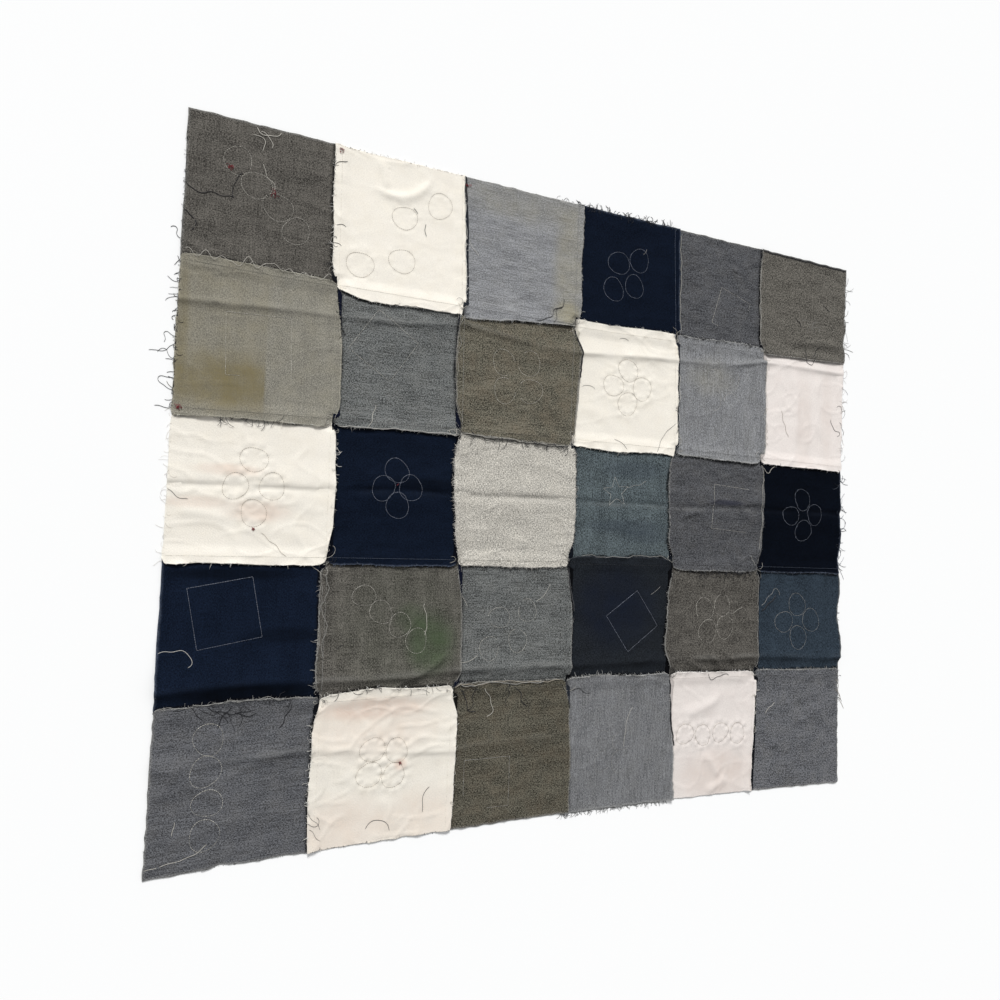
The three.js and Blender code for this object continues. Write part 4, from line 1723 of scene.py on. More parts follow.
@dataclass
class SewnOutlines:
    """The thread outlines on the squares."""

    plan: SeamPlan
    surface: SurfaceMap
    ring_points: int = 72

    def build(self, material: Material) -> Piece:
        """Stitch every outline, a little unevenly, into one piece.

        Args:
            material: The thread material.

        Returns:
            The new object.
        """
        rng = np.random.default_rng(Seed.OUTLINE_WOBBLE)
        stitcher = Stitcher(self.surface)
        piece = ThreadPiece("sewn_outlines", 3)
        for outline in OUTLINES:
            mid = outline.middle(self.plan)
            for line in self._lines(outline, rng):
                stitches = stitcher.along(line + mid, True)
                first = rng.random() if outline.first is None else outline.first
                order = (np.arange(len(stitches)) / len(stitches) - first) % 1.0
                stitches = stitches[order < outline.shows]
                piece.add(stitches, stitcher.radius, varied(outline.shade, len(stitches), rng, 0.45))
        return piece.build(material)

    def _lines(self, outline: SewnOutline, rng: Chance) -> list[Array]:
        """Draw an outline's closed lines about its square's middle: rings, or runs between corners."""
        if outline.is_rings():
            turn = np.arange(self.ring_points) * 2 * math.pi / self.ring_points
            lines = []
            for middle in outline.middles():
                oval, tri = rng.uniform(0, 6, 2)
                wobble = 1.3 * np.sin(2 * turn + oval) + 0.7 * np.sin(3 * turn + tri)
                reach = outline.ring + wobble + rng.normal(0, 0.4)
                lines.append(middle + np.stack([np.cos(turn), np.sin(turn)], 1) * reach[:, None])
            return lines
        corners = outline.corners()
        share = np.linspace(0, 1, 24, endpoint=False)[:, None]
        ahead = np.roll(corners, -1, axis=0)
        return [np.concatenate([a + (b - a) * share for a, b in zip(corners, ahead)])]


class Run(Enum):
    """Which way a seam runs."""

    LEVEL = "between two rows"
    UPRIGHT = "between two columns"


@dataclass(frozen=True)
class Seam:
    """One seam from the left or the top: its places, the way its lip laps, its widths and its cloths."""

    line: Array
    out: Array
    lip: Array
    over: ClothFinish
    under: ClothFinish

    def edge(self, share: Array, past: Array | float) -> Array:
        """Give places along the lip's cut edge.

        Args:
            share: Shares of the seam's length.
            past: How far beyond the edge, or inside it where negative.

        Returns:
            Places on the plan.
        """
        at = np.asarray(share) * (len(self.line) - 1)
        order = np.arange(len(self.line))
        x, y, lip = (np.interp(at, order, v) for v in (self.line[:, 0], self.line[:, 1], self.lip))
        return np.stack([x, y], -1) + self.out * (lip + past)[..., None]

    def heading(self) -> float:
        """Give the direction in which the lip laps."""
        return math.atan2(self.out[1], self.out[0])


@dataclass(frozen=True)
class OnSeam:
    """Something on one seam, from one share of the seam's length to another."""

    run: Run
    first: int
    second: int
    start: float
    end: float


@dataclass(frozen=True)
class Hairs(OnSeam):
    """Hairs that stand out of a stretch of a lip's edge; a negative length lies back on its own square."""

    count: int
    length: float
    shade: str
    slant: float = 0.0
    radius: float = 0.27


@dataclass(frozen=True)
class PulledThread(OnSeam):
    """A long thread pulled out of a cut edge, lying in waves along it; a thick dark one along a narrow lip
    stands for the shade in the gap beside it.
    """

    swing: float
    wave: float
    past: float
    shade: str
    radius: float = 0.3


# Level seams by seam and column, upright seams by row and seam; then the stretch and what stands on it
HAIRS = rows_of(Hairs, {
    (Run.LEVEL,): (
        (0, 0, 0.1, 0.9, 12, 5, PALE), (0, 2, 0.4, 1.0, 14, 6, DARK), (0, 4, 0.05, 0.97, 60, -4, DARK),
        (1, 0, 0.2, 0.65, 22, 10, DARK, 0.4), (1, 2, 0.1, 0.98, 28, 12, DARK, 0.0, 0.4),
        (1, 4, 0.3, 0.95, 22, 7, DARK), (2, 2, 0.2, 1.0, 12, 7, DARK),
        (2, 4, 0.15, 0.97, 26, 13, DARK, 0.0, 0.48), (2, 5, 0.05, 0.95, 50, 4, DARK),
        (3, 0, 0.2, 0.9, 12, -14, DARK), (3, 1, 0.05, 0.9, 16, -9, DARK, 0.9),
        (3, 2, 0.1, 0.8, 12, -15, DARK), (3, 3, 0.0, 0.9, 50, 3, FAINT), (3, 5, 0.02, 0.98, 24, 4, FAINT),
    ),
    (Run.UPRIGHT,): (
        (0, 0, 0.1, 0.97, 26, 8, DARK), (0, 0, 0.05, 0.97, 22, 5, WHITE), (0, 1, 0.1, 0.97, 22, 5, WHITE),
        (0, 2, 0.05, 0.95, 40, 3, PALE), (1, 0, 0.05, 0.4, 10, 9, DARK), (1, 3, 0.1, 0.95, 16, 6, DARK),
        (1, 4, 0.1, 0.95, 14, 6, GREY), (2, 0, 0.15, 0.65, 16, 7, WHITE, -0.5),
        (2, 2, 0.05, 0.95, 26, 5, DARK), (2, 3, 0.1, 0.9, 18, 4, DARK), (2, 4, 0.6, 0.95, 20, 5, DARK),
        (3, 0, 0.1, 0.95, 8, 6, FAINT), (3, 2, 0.1, 0.95, 16, 5, DARK), (4, 0, 0.1, 0.7, 12, 7, WHITE),
        (4, 1, 0.1, 0.9, 18, 4, GREY), (4, 4, 0.1, 0.75, 14, 9, PALE, 0.5),
    ),
})

PULLED_THREADS = rows_of(PulledThread, {
    (Run.LEVEL,): (
        (0, 0, 0.01, 0.97, 3.6, 20, 1.4, PALE), (0, 1, 0.4, 1.0, 0.7, 40, 0.6, DARK),
        (1, 1, 0.03, 0.98, 1.1, 34, 0.0, WHITE), (1, 2, 0.0, 0.95, 0.9, 60, 0.6, PALE),
        (2, 3, 0.1, 0.95, 1.0, 36, 0.3, FAINT), (3, 0, 0.0, 1.0, 1.0, 26, 0.3, FAINT),
        (3, 0, 0.1, 0.8, 1.8, 30, -2.0, DARK), (3, 2, 0.0, 0.95, 1.4, 40, -1.5, GREY, 0.45),
        (3, 2, 0.05, 0.8, 1.8, 34, -3.0, FAINT, 0.5),
    ),
    (Run.UPRIGHT,): (
        (0, 1, 0.1, 0.95, 0.8, 30, 0.2, WHITE), (0, 3, 0.05, 0.95, 0.8, 50, 1.8, PALE),
        (0, 4, 0.2, 1.0, 1.8, 44, 0.5, PALE), (1, 1, 0.05, 0.95, 1.6, 44, -3.0, FAINT, 0.25),
        (1, 1, 0.0, 1.0, 0.8, 70, 0.9, DARK), (1, 2, 0.1, 1.0, 0.8, 60, 0.8, DARK),
        (1, 3, 0.3, 1.0, 3.6, 20, 2.0, PALE, 0.34), (1, 4, 0.0, 1.0, 2.2, 36, 0.5, PALE),
        (2, 4, 0.1, 0.85, 1.2, 60, -4.0, PALE), (3, 0, 0.05, 0.95, 1.2, 60, -1.5, FAINT, 0.25),
        (3, 0, 0.1, 0.7, 2.6, 50, -8.0, FAINT), (3, 1, 0.4, 0.95, 1.8, 40, -2.0, FAINT, 0.25),
        (3, 3, 0.1, 0.9, 1.2, 50, 0.5, FAINT), (3, 4, 0.0, 0.95, 0.6, 60, 0.0, FAINT),
        # Thick dark rolls next: painted shade in the gap by a narrow lip, partly its cloth's dark underside
        (4, 3, 0.0, 0.56, 0.8, 60, 1.0, DARK, 1.3), (1, 2, 0.03, 0.45, 0.5, 60, 1.2, DARK, 1.2),
        (3, 2, 0.02, 0.4, 0.5, 60, 1.6, DARK, 1.2),
    ),
})

# Seams whose stitching shows pale on the square that laps over
PALE_STITCHING = {
    (Run.LEVEL, 1, 1), (Run.LEVEL, 2, 1), (Run.LEVEL, 2, 5), (Run.UPRIGHT, 0, 3), (Run.UPRIGHT, 1, 0),
    (Run.UPRIGHT, 1, 1), (Run.UPRIGHT, 1, 2), (Run.UPRIGHT, 3, 0),
}


@dataclass
class SeamThreads:
    """Everything thready along the seams: stitch lines, fray fibres, hairs and pulled threads."""

    plan: SeamPlan
    surface: SurfaceMap
    stitch_inset: float = 1.6
    fray_inset: float = 0.7
    hair_inset: float = 0.8
    own_share: float = 0.8
    fray_radius: Pair = (0.16, 0.3)
    measured: Pair = (0.015, 0.985)
    seam_points: int = 60
    pulled_points: int = 90

    def __post_init__(self) -> None:
        """Measure every seam once."""
        share = np.linspace(*self.measured, self.seam_points)
        level = {(Run.LEVEL, i, j): self._level(i, j, share) for i, j in np.ndindex(ROWS - 1, COLUMNS)}
        upright = {(Run.UPRIGHT, i, j): self._upright(i, j, share) for i, j in np.ndindex(ROWS, COLUMNS - 1)}
        self.seams = level | upright

    def _level(self, seam: int, column: int, share: Array) -> Seam:
        """Measure a seam between two rows, from the left."""
        y = self.plan.row_line(seam + 1, self.plan.middle(seam, column)[0])
        x0, x1 = self.plan.column_line(column, y), self.plan.column_line(column + 1, y)
        x = x0 + (x1 - x0) * share
        line = np.stack([x, self.plan.row_line(seam + 1, x)], 1)
        cloths = LAYOUT[seam][column].value, LAYOUT[seam + 1][column].value
        upper = self.plan.row_seams[seam][column] == "U"
        out = np.array([0.0, -1.0 if upper else 1.0])
        return Seam(line, out, self.plan.row_lip(seam, column, x), *(cloths if upper else cloths[::-1]))

    def _upright(self, row: int, seam: int, share: Array) -> Seam:
        """Measure a seam between two columns, from the top."""
        x = self.plan.column_line(seam + 1, self.plan.middle(row, seam)[1])
        y0, y1 = self.plan.row_line(row, x), self.plan.row_line(row + 1, x)
        y = y0 + (y1 - y0) * share
        line = np.stack([self.plan.column_line(seam + 1, y), y], 1)
        cloths = LAYOUT[row][seam].value, LAYOUT[row][seam + 1].value
        left = self.plan.column_seams[row][seam] == "L"
        out = np.array([1.0 if left else -1.0, 0.0])
        lip = self.plan.column_lip(seam, row, line[:, 0], y)
        return Seam(line, out, lip, *(cloths if left else cloths[::-1]))

    def build(self, material: Material) -> list[Piece]:
        """Make the stitch lines, frays, hairs and pulled threads of all seams.

        Args:
            material: The thread material.

        Returns:
            The new objects.
        """
        rng = np.random.default_rng(Seed.SEAM_THREAD)
        stitches = ThreadPiece("seam_stitching", 3)
        frays = ThreadPiece("seam_frays", 3)
        hairs = ThreadPiece("seam_hairs", 4)
        stitcher = Stitcher(self.surface, radius=0.26)
        for key, seam in self.seams.items():
            pale = key in PALE_STITCHING
            shade = mixed(linear(seam.over.color), linear(seam.over.thread), 0.85 if pale else 0.05)
            sewn = stitcher.along(seam.line - seam.out * self.stitch_inset, False)
            stitches.add(sewn, stitcher.radius, varied(shade, len(sewn), rng))
            self._fray(frays, seam, rng)
        for row in HAIRS:
            self._stand(hairs, row, rng)
        # Pulled threads, and thick dark rolls that are painted shade
        for thread in PULLED_THREADS:
            self._pull(hairs, thread, rng)
        return [piece.build(material) for piece in (stitches, frays, hairs)]

    def _fray(self, piece: ThreadPiece, seam: Seam, rng: Chance) -> None:
        """Let short fibres stand out of a lip's cut edge, most of its own cloth, some of the one below."""
        length = np.linalg.norm(seam.line[-1] - seam.line[0])
        count = int(length / seam.over.fringe)
        root = seam.edge(rng.uniform(0, 1, count), -self.fray_inset)
        heading = seam.heading() + rng.normal(0, 0.5, count)
        reach = rng.gamma(2.0, 1.0, count) + 1.2
        paths = sprung(wander(root, heading, reach, 1.0, 4, rng), self.surface, 0.3)
        own = rng.random(count) < self.own_share
        upper, lower = varied(seam.over.thread, count, rng), varied(seam.under.color, count, rng)
        dye = np.where(own[:, None], upper, lower)
        piece.add(paths, rng.uniform(*self.fray_radius, count), dye, 0.4)

    def _stand(self, piece: ThreadPiece, row: Hairs, rng: Chance) -> None:
        """Stand a row of hairs on a lip's edge, each with its own length and lean."""
        seam = self.seams[row.run, row.first, row.second]
        root = seam.edge(rng.uniform(row.start, row.end, row.count), -self.hair_inset)
        back = math.pi if row.length < 0 else 0.0
        heading = seam.heading() + back + row.slant + rng.normal(0, 0.4, row.count)
        reach = abs(row.length) * rng.uniform(0.6, 1.9, row.count)
        paths = sprung(wander(root, heading, reach, 1.5, 7, rng), self.surface, 0.35)
        radius = row.radius * rng.uniform(0.7, 1.3, row.count)
        piece.add(paths, radius, varied(row.shade, row.count, rng), 0.5)

    def _pull(self, piece: ThreadPiece, thread: PulledThread, rng: Chance) -> None:
        """Lay one thread in uneven waves along a lip's edge."""
        seam = self.seams[thread.run, thread.first, thread.second]
        share = np.linspace(thread.start, thread.end, self.pulled_points)
        travel = share * np.linalg.norm(seam.line[-1] - seam.line[0])
        seed = int(rng.integers(1, 9999))
        swing = thread.swing * Unevenness(seed, thread.wave, 5).at(travel)
        path = seam.edge(share, thread.past + swing)
        on_lip = self.surface.top(seam.edge(share, -self.hair_inset))
        held = np.maximum(self.surface.top(path), on_lip - 0.3)
        lift = 0.35 + 0.5 * np.abs(Unevenness(seed + 1, 30, 5).at(travel))
        path = np.concatenate([path, (held + lift)[:, None]], 1)
        piece.add(path[None], thread.radius, linear(thread.shade), 0.6)


@dataclass
class CrossingTangles:
    """Knotted thread ends where four squares meet."""

    plan: SeamPlan
    surface: SurfaceMap
    ends: int = 7
    spread: float = 5.0
    lengths: Pair = (8.0, 30.0)
    radii: Pair = (0.15, 0.3)
    steps: int = 12

    def build(self, material: Material) -> Piece:
        """Strew curled ends about every crossing, pale and dark.

        Args:
            material: The thread material.

        Returns:
            The new object.
        """
        rng = np.random.default_rng(Seed.CROSSING)
        piece = ThreadPiece("crossing_tangles")
        for i in range(1, ROWS):
            for j in range(1, COLUMNS):
                x = y = 0.0
                for _ in range(4):
                    x = self.plan.column_line(j, y)
                    y = self.plan.row_line(i, x)
                count = int(rng.integers(2, self.ends + 1))
                root = np.array([x, y]) + rng.normal(0, self.spread, (count, 2))
                heading = rng.uniform(0, 2 * math.pi, count)
                paths = wander(root, heading, rng.uniform(*self.lengths, count), 2.6, self.steps, rng)
                pale = rng.random(count) < 0.5
                dye = np.where(pale[:, None], varied(PALE, count, rng), varied(DARK, count, rng))
                hop = 0.4 + rng.uniform(0, 0.8, (count, self.steps))
                piece.add(laid(paths, self.surface, hop), rng.uniform(*self.radii, count), dye)
        return piece.build(material)


@dataclass(frozen=True)
class LooseThread(OnSquare):
    """A loose thread from a place on a square: its heading, length and the turns it makes in order."""

    shade: str
    x: float
    y: float
    heading: float
    length: float
    turns: tuple[float, ...] = (0.0,)
    radius: float = 0.33
    waver: float = 0.3

    def path(self, steps: int) -> Array:
        """Follow the thread, wavering and turning through each of its turns on an equal stretch.

        Args:
            steps: Points on each stretch.

        Returns:
            Places along the thread from the square's middle.
        """
        angle = math.radians(self.heading) + np.cumsum(np.repeat(np.radians(self.turns), steps) / steps)
        angle = angle + self.waver * np.sin(np.linspace(0, self.length / 4, angle.size) + self.x)
        moves = np.stack([np.cos(angle), np.sin(angle)], 1) * (self.length / angle.size)
        return np.concatenate([np.zeros((1, 2)), np.cumsum(moves, 0)]) + (self.x, self.y)


# By square and shade: place, heading, length, turns, radius and waver, angles anticlockwise in degrees
LOOSE_THREADS = rows_of(LooseThread, {
    (0, 0, DARK): (
        (-105, 20, -85, 85, (20, 80, -20, 10), 0.4), (-45, -10, 75, 45, (10, -50), 0.38),
        (-103, -35, -10, 35, (-50, -60), 0.55), (-105, -75, 150, 25, (-60, 120)),
    ),
    (0, 0, PALE): (
        (-15, 100, -60, 40, (60, 50), 0.5), (-10, 95, 10, 30, (-60, -60), 0.42),
        (-20, 88, 30, 34, (-90, -60), 0.4), (-5, 50, -90, 50, (50, -70)),
    ),
    (0, 1, DARK): (
        (-105, 75, 40, 20, (-20,)), (-115, -45, 40, 25, (-70,)), (-100, -15, 20, 15, (-40,), 0.3),
        (35, 15, -85, 20, (0,), 0.4), (15, 35, -40, 10),
    ),
    (0, 2, WHITE): ((-100, 10, -45, 40, (-10,), 0.3),),
    (0, 2, DARK): ((30, -105, 10, 75, (10, 50, -60, 110), 0.42), (60, -105, 60, 40, (30, -80), 0.4)),
    (0, 3, FAINT): ((30, 42, 40, 14, (20,), 0.2),),
    (0, 4, DARK): (
        (-85, 12, 10, 26, (30,), 0.32), (-70, -42, 20, 30, (-30,), 0.32), (20, 45, -20, 20, (40,), 0.28),
        (55, 20, 10, 14, (30,)),
    ),
    (0, 5, DARK): (
        (-25, -20, -80, 26, (50, -60), 0.42), (45, 15, -60, 22, (60,), 0.42),
        (15, -95, 30, 35, (40, -50), 0.42),
    ),
    (0, 5, FAINT): ((18, -28, -70, 30, (90, -150), 0.25),),
    (1, 0, DARK): (
        (-105, 70, 180, 16, (-30,), 0.26), (-105, 50, 170, 18, (80,), 0.24),
        (-105, -5, 150, 30, (0, 140, -60), 0.26), (-105, -15, 170, 36, (90, -110, 60), 0.26),
        (-105, -35, 160, 30, (-40, 120), 0.24), (-105, -60, 170, 45, (20, 140, 20), 0.28),
        (-105, -100, 185, 22, (-10,), 0.3),
    ),
    (1, 1, DARK): ((-100, 60, -30, 40, (-60, 30), 0.4),),
    (1, 1, PALE): ((-35, -70, -95, 40, (-20,)),),
    (1, 3, DARK): (
        (66, -108, 80, 72, (-45,), 0.28, 0.1), (-20, -88, -10, 30, (-40,), 0.24, 0.1),
        (-85, -5, 45, 28, (-90,), 0.22, 0.1), (-15, 85, 45, 20, (-90,), 0.22, 0.1),
    ),
    (1, 5, DARK): ((30, 110, -110, 60, (-20, -130, -10), 0.38), (75, -10, -110, 50, (60, 40, -160))),
    (1, 5, GREY): ((-55, -5, -75, 55, (10,), 0.3),),
    (2, 0, DARK): ((-105, -10, -50, 30, (40,), 0.25),),
    (2, 0, GREY): ((15, -65, -35, 50, (-15,), 0.25),),
    (2, 3, FAINT): ((5, 30, 5, 45, (20,), 0.25),),
    (2, 5, PALE): ((-100, 90, -45, 45, (0, 90, 0), 0.4),),
    (3, 0, WHITE): ((-105, -25, 15, 60, (-10, -40, -110), 0.28),),
    (3, 1, PALE): ((-120, 90, -40, 50, (-10, 150, 20), 0.25), (50, 35, -125, 50, (70, -50, 20))),
    (3, 1, DARK): ((-80, -30, 30, 12),),
    (3, 2, PALE): (
        (40, 35, 20, 40, (55,), 0.25, 0.1), (-90, 50, -55, 25, (-10,), 0.25, 0.1),
        (-90, -55, -20, 35, (70,), 0.28, 0.1),
    ),
    (3, 3, FAINT): ((60, 45, 35, 25, (0,), 0.2, 0.1),),
    (3, 4, PALE): ((28, 14, -5, 40, (45,), 0.22),),
    (3, 5, FAINT): ((-90, 30, 45, 65, (0, 0, -150), 0.25),),
    (3, 5, DARK): ((-90, 20, 40, 45, (0,), 0.9),),
    (4, 0, DARK): (
        (-40, 110, -30, 60, (20, 30), 0.5), (-10, 110, -100, 35, (-40, 60), 0.5),
        (-5, 100, -40, 30, (60,), 0.5), (70, 110, -110, 40, (-10,), 0.5),
        (-60, 110, -40, 25, (-20,), 0.45), (-30, 105, -70, 26, (50, -60), 0.34),
        (5, 108, -130, 30, (60, -40), 0.34), (-15, 100, -20, 28, (-70, 40), 0.32),
        (-50, 108, -60, 22, (60,), 0.32),
    ),
    (4, 0, PALE): ((-32, -72, -135, 80, (-35, 0), 0.3, 0.15), (-73, -38, -92, 18)),
    (4, 1, DARK): (
        (-25, -85, 70, 50, (-80, -70), 0.33, 0.1), (70, -35, -160, 40, (70, 0), 0.33, 0.1),
        (-110, -50, -45, 35, (-10,), 0.25), (-110, -65, -30, 32, (20, 180), 0.25),
        (-105, -75, -50, 25, (0,), 0.22),
    ),
    (4, 2, DARK): (
        (-85, 105, -30, 50, (-60, 90), 0.55), (5, 105, -20, 45, (-60, 40), 0.5),
        (-60, 105, -120, 40, (40, -60), 0.36), (-5, 100, -70, 30, (-50, 60), 0.32),
        (25, 85, -50, 26, (-40,), 0.32),
    ),
    (4, 2, PALE): ((-45, 105, -60, 55, (0, -20, -80), 0.38),),
    (4, 3, PALE): ((30, 58, -135, 70, (40, -5), 0.26, 0.1),),
    (4, 3, DARK): ((-95, 95, -20, 45, (30, -60, 70)),),
    (4, 4, DARK): ((-10, 110, -90, 55, (100, 20, -70), 0.38),),
    (4, 5, PALE): ((-75, 35, 45, 30, (-10,)),),
    (4, 5, GREY): ((100, 90, -30, 50, (-60, 40)), (100, 70, -20, 50, (-60, 40))),
})


@dataclass(frozen=True)
class Knot(OnSquare):
    """A small knot of red thread, from a square's middle."""

    x: float
    y: float
    spread: float


KNOTS = rows_of(Knot, {
    (0, 0): ((-48, 34, 3.4), (12, 10, 2.6)),
    (0, 1): ((-96, 98, 2.4),),
    (0, 2): ((-97, 91, 3.4),),
    (1, 0): ((-98, -100, 4.5),),
    (2, 0): ((5, -60, 1.6),),
    (2, 1): ((0, 11, 1.0),),
    (4, 1): ((23, 5, 2.2),),
})


@dataclass
class LooseEnds:
    """Loose threads and red knots that lie on single squares."""

    plan: SeamPlan
    surface: SurfaceMap
    knot_loops: int = 8
    knot_radius: float = 0.28
    turn_steps: int = 12

    def build(self, material: Material) -> list[Piece]:
        """Lay the threads one by one and wind the knots.

        Args:
            material: The thread material.

        Returns:
            The new objects.
        """
        rng = np.random.default_rng(Seed.LOOSE_END)
        threads = ThreadPiece("loose_threads", 5)
        for t in LOOSE_THREADS:
            path = t.path(self.turn_steps) + t.middle(self.plan)
            threads.add(laid(path[None], self.surface, t.radius + 0.1), t.radius, linear(t.shade), 0.5)
        knots = ThreadPiece("red_thread_knots")
        for k in KNOTS:
            start = np.array([k.middle(self.plan)]) + (k.x, k.y)
            start = start + rng.normal(0, k.spread * 0.4, (self.knot_loops, 2))
            heading = rng.uniform(0, 2 * math.pi, self.knot_loops)
            paths = wander(start, heading, k.spread * rng.uniform(1.4, 3.8, self.knot_loops), 8.0, 10, rng)
            hop = 0.4 + rng.uniform(0, 1.4, paths.shape[:2])
            dye = varied(RED, self.knot_loops, rng, 0.4)
            knots.add(laid(paths, self.surface, hop), self.knot_radius, dye)
        return [threads.build(material), knots.build(material)]


@dataclass(frozen=True)
class FrayStretch:
    """A frayed stretch of an outer edge, from the left or the bottom.

    It has a number of threads with their longest reach, a lean to one side, how much they stray from it, the
    share of dark threads, their thickness and, where they stand in tufts, how many.
    """

    start: float
    end: float
    threads: int
    reach: float
    lean: float = 0.0
    stray: float = 0.5
    dark: float = 0.2
    radius: float = 0.24
    tufts: int = 0


# By side, from its low end: the values of each FrayStretch
EDGE_FRAYS = {
    Side.LEFT: (
        (0.02, 0.4, 20, 3), (0.4, 0.6, 30, 18, 0.0, 0.6, 0.0, 0.15),
        (0.6, 0.8, 50, 14, 0.0, 0.6, 0.9, 0.32), (0.8, 0.98, 60, 6, 0.0, 0.6, 0.7),
    ),
    Side.RIGHT: (
        (0.02, 0.14, 30, 6), (0.14, 0.2, 16, 24, -0.5, 0.5, 0.0, 0.3), (0.2, 0.4, 40, 9, 0.0, 0.6, 0.3),
        (0.4, 0.6, 40, 32, -0.2, 0.5, 0.3, 0.32, 14), (0.6, 0.8, 32, 28, 0.2, 0.5, 0.2, 0.28, 14),
        (0.8, 0.98, 32, 30, 0.1, 0.5, 0.3, 0.28, 14),
    ),
    Side.TOP: (
        (0.17, 0.33, 60, 6, 0.0, 0.5, 0.1), (0.33, 0.47, 40, 4), (0.46, 0.5, 10, 14, -0.5, 0.3, 0.5, 0.3),
        (0.5, 0.66, 130, 16, -0.6, 0.35, 0.95, 0.32, 20), (0.66, 0.98, 60, 3),
    ),
    Side.BOTTOM: (
        (0.02, 0.17, 30, 3), (0.17, 0.33, 60, 5), (0.33, 0.49, 30, 3),
        (0.495, 0.665, 260, 14, 0.15, 0.2, 0.0, 0.34), (0.67, 0.98, 60, 4),
    ),
}


@dataclass
class FrayedEdge:
    """The loosened threads of one outer edge."""

    side: Side
    plan: SeamPlan
    surface: SurfaceMap
    root_inset: float = 1.5
    above: float = 0.35

    def build(self, material: Material, seed: int) -> Piece:
        """Let threads of each square's own cloth stand out from its raw edge, most short and a few long.

        Args:
            material: The thread material.
            seed: The source of chance.

        Returns:
            The new object, standing for the edge's solid.
        """
        rng = np.random.default_rng(seed)
        piece = ThreadPiece(f"edge_threads_{self.side.value}", 4)
        for stretch in (FrayStretch(*row) for row in EDGE_FRAYS[self.side]):
            places = stretch.tufts or stretch.threads
            share = (np.arange(places) + rng.uniform(0, 1, places)) / places
            if stretch.tufts:
                share = rng.choice(share, stretch.threads) + rng.normal(0, 0.008, stretch.threads)
            share = stretch.start + (stretch.end - stretch.start) * np.clip(share, 0.0, 1.0)
            root, out, cloths = self._roots(share)
            heading = math.atan2(out[1], out[0]) + stretch.lean + rng.normal(0, stretch.stray, share.size)
            reach = stretch.reach * rng.uniform(0.25, 1.0, share.size)
            paths = wander(root - out * self.root_inset, heading, reach, 1.6, 9, rng)
            dark = rng.random(share.size) < stretch.dark
            own = np.array([mixed(linear(c.color), linear(c.thread), 0.4) for c in cloths])
            own = own * rng.uniform(0.55, 0.95, (share.size, 1))
            dye = np.where(dark[:, None], varied(DARK, share.size, rng), own)
            radius = stretch.radius * rng.uniform(0.7, 1.3, share.size)
            piece.add(laid(paths, self.surface, self.above), radius, dye, 0.5)
        return piece.build(material, f"frayed_{self.side.value}")

    def _roots(self, share: Array) -> tuple[Array, Array, list[ClothFinish]]:
        """Find places on the edge, from its low end, with the way out and the cloth there."""
        plan = self.plan
        if self.side.upright:
            column = 0 if self.side is Side.LEFT else COLUMNS - 1
            y = plan.half_height * (2 * share - 1)
            x = plan.column_line(0 if column == 0 else COLUMNS, y)
            rows = np.clip(((1 - share) * ROWS).astype(int), 0, ROWS - 1)
            out = np.array([-1.0 if column == 0 else 1.0, 0.0])
            return np.stack([x, y], 1), out, [LAYOUT[r][column].value for r in rows]
        row = 0 if self.side is Side.TOP else ROWS - 1
        x = plan.half_width * (2 * share - 1)
        y = plan.row_line(0 if row == 0 else ROWS, x)
        columns = np.clip((share * COLUMNS).astype(int), 0, COLUMNS - 1)
        out = np.array([0.0, 1.0 if row == 0 else -1.0])
        return np.stack([x, y], 1), out, [LAYOUT[row][c].value for c in columns]


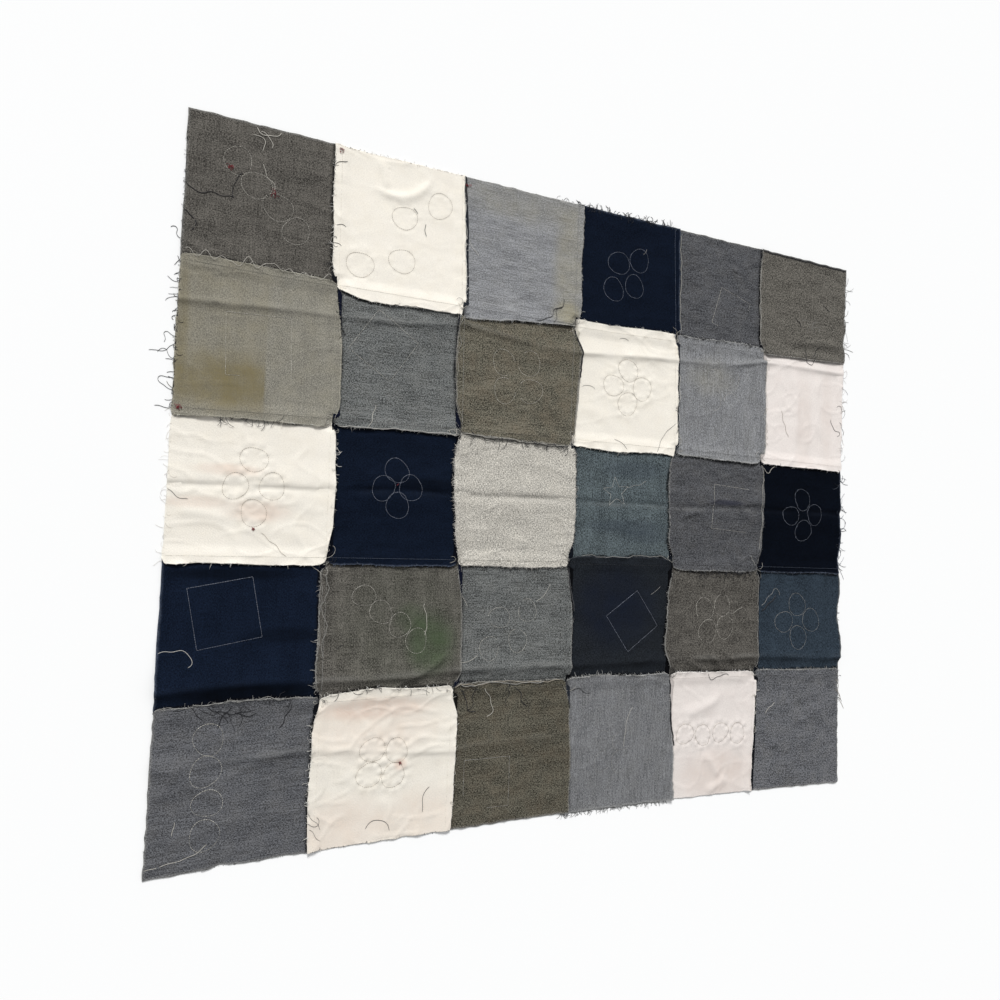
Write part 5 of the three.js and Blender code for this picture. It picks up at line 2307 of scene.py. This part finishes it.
@dataclass
class Studio:
    """The pale floor, the soft light from the first row's side and the camera at the photograph's angle."""

    floor_size: float = 14.0
    floor_color: str = "#fafaf9"
    camera_at: tuple[float, float, float] = (-0.576, -0.049, 1.045)
    looks_along: tuple[float, float, float] = (0.3911, 0.0444, -0.9193)
    right_hand: tuple[float, float, float] = (0.9191, 0.0335, 0.3927)
    focal_share: float = 0.716
    sensor: float = 36.0
    sun_strength: float = 3.0
    sun_width: float = 16.0
    sun_towards: tuple[float, float, float] = (0.14, -0.8, -0.64)
    sun_at: tuple[float, float, float] = (0.0, 1.5, 1.8)
    sky: tuple[float, float, float, float] = (0.97, 0.98, 1.0, 1.0)
    sky_strength: float = 0.44

    def build(self) -> None:
        """Lay the floor, hang the lights and place the camera."""
        self._floor()
        self._light()
        self._camera()

    def _floor(self) -> None:
        """Make a wide plane with a faint unevenness in its paint."""
        half = self.floor_size / 2
        mesh = bpy.data.meshes.new("floor")
        corners = [(-half, -half, 0), (half, -half, 0), (half, half, 0), (-half, half, 0)]
        mesh.from_pydata(corners, [], [(0, 1, 2, 3)])
        floor = bpy.data.objects.new("floor", mesh)
        bpy.context.scene.collection.objects.link(floor)
        g = Graph("pale_floor")
        place = g.node("ShaderNodeTexCoord", {}, output="Object")
        tone = linear(self.floor_color)
        color = g.mix((g.noise(place) * 0.5 + 0.5).clipped(), tone, mixed(tone, (1.0, 1.0, 1.0), 0.3))
        shader = g.node(
            "ShaderNodeBsdfPrincipled", {}, Base_Color=color, Roughness=0.9, Specular_IOR_Level=0.1,
        )
        mesh.materials.append(g.finish(shader))

    def _light(self) -> None:
        """Use one broad sun from beyond the first row and an even pale surrounding."""
        sun = bpy.data.lights.new("window_light", "SUN")
        sun.energy = self.sun_strength
        sun.angle = math.radians(self.sun_width)
        lamp = bpy.data.objects.new("window_light", sun)
        lamp.rotation_euler = Vector(self.sun_towards).to_track_quat("-Z", "Y").to_euler()
        lamp.location = self.sun_at
        bpy.context.scene.collection.objects.link(lamp)
        world = bpy.data.worlds.new("pale_room")
        world.use_nodes = True
        background = world.node_tree.nodes["Background"]
        background.inputs["Color"].default_value = self.sky
        background.inputs["Strength"].default_value = self.sky_strength
        bpy.context.scene.world = world
        bpy.context.scene.view_settings.view_transform = "Standard"

    def _camera(self) -> None:
        """Turn the camera by its right hand and the way it looks."""
        lens = bpy.data.cameras.new("camera")
        lens.sensor_width = self.sensor
        lens.lens = self.focal_share * self.sensor
        camera = bpy.data.objects.new("camera", lens)
        back = -Vector(self.looks_along).normalized()
        right = Vector(self.right_hand).normalized()
        up = back.cross(right)
        turn = Matrix((right, up, back)).transposed().to_4x4()
        camera.matrix_world = Matrix.Translation(self.camera_at) @ turn
        bpy.context.scene.collection.objects.link(camera)
        bpy.context.scene.camera = camera


def main() -> None:
    """Build the studio, the squares and the threads in order, and report each piece."""
    logging.basicConfig(level=logging.INFO, format="%(name)s: %(message)s")
    Studio().build()
    plan = SeamPlan()
    relief = Relief(plan)
    surface = SurfaceMap(plan)
    cloths = {cloth: ClothMaterial(cloth.value).build() for cloth in Cloth}
    for row in range(ROWS):
        for column in range(COLUMNS):
            square = Square(row, column, plan, relief)
            piece = square.build(cloths[LAYOUT[row][column]])
            surface.cover(square)
            LOG.info("%s of %s", piece.name, square.cloth.slot)
    thread = thread_material()
    pieces = [SewnOutlines(plan, surface).build(thread), *SeamThreads(plan, surface).build(thread)]
    pieces += [CrossingTangles(plan, surface).build(thread), *LooseEnds(plan, surface).build(thread)]
    for k, side in enumerate(Side):
        pieces.append(FrayedEdge(side, plan, surface).build(thread, Seed.EDGE_THREAD + k))
    for piece in pieces:
        LOG.info("%s with %d faces", piece.name, len(piece.data.polygons))


if __name__ == "__main__":
    main()
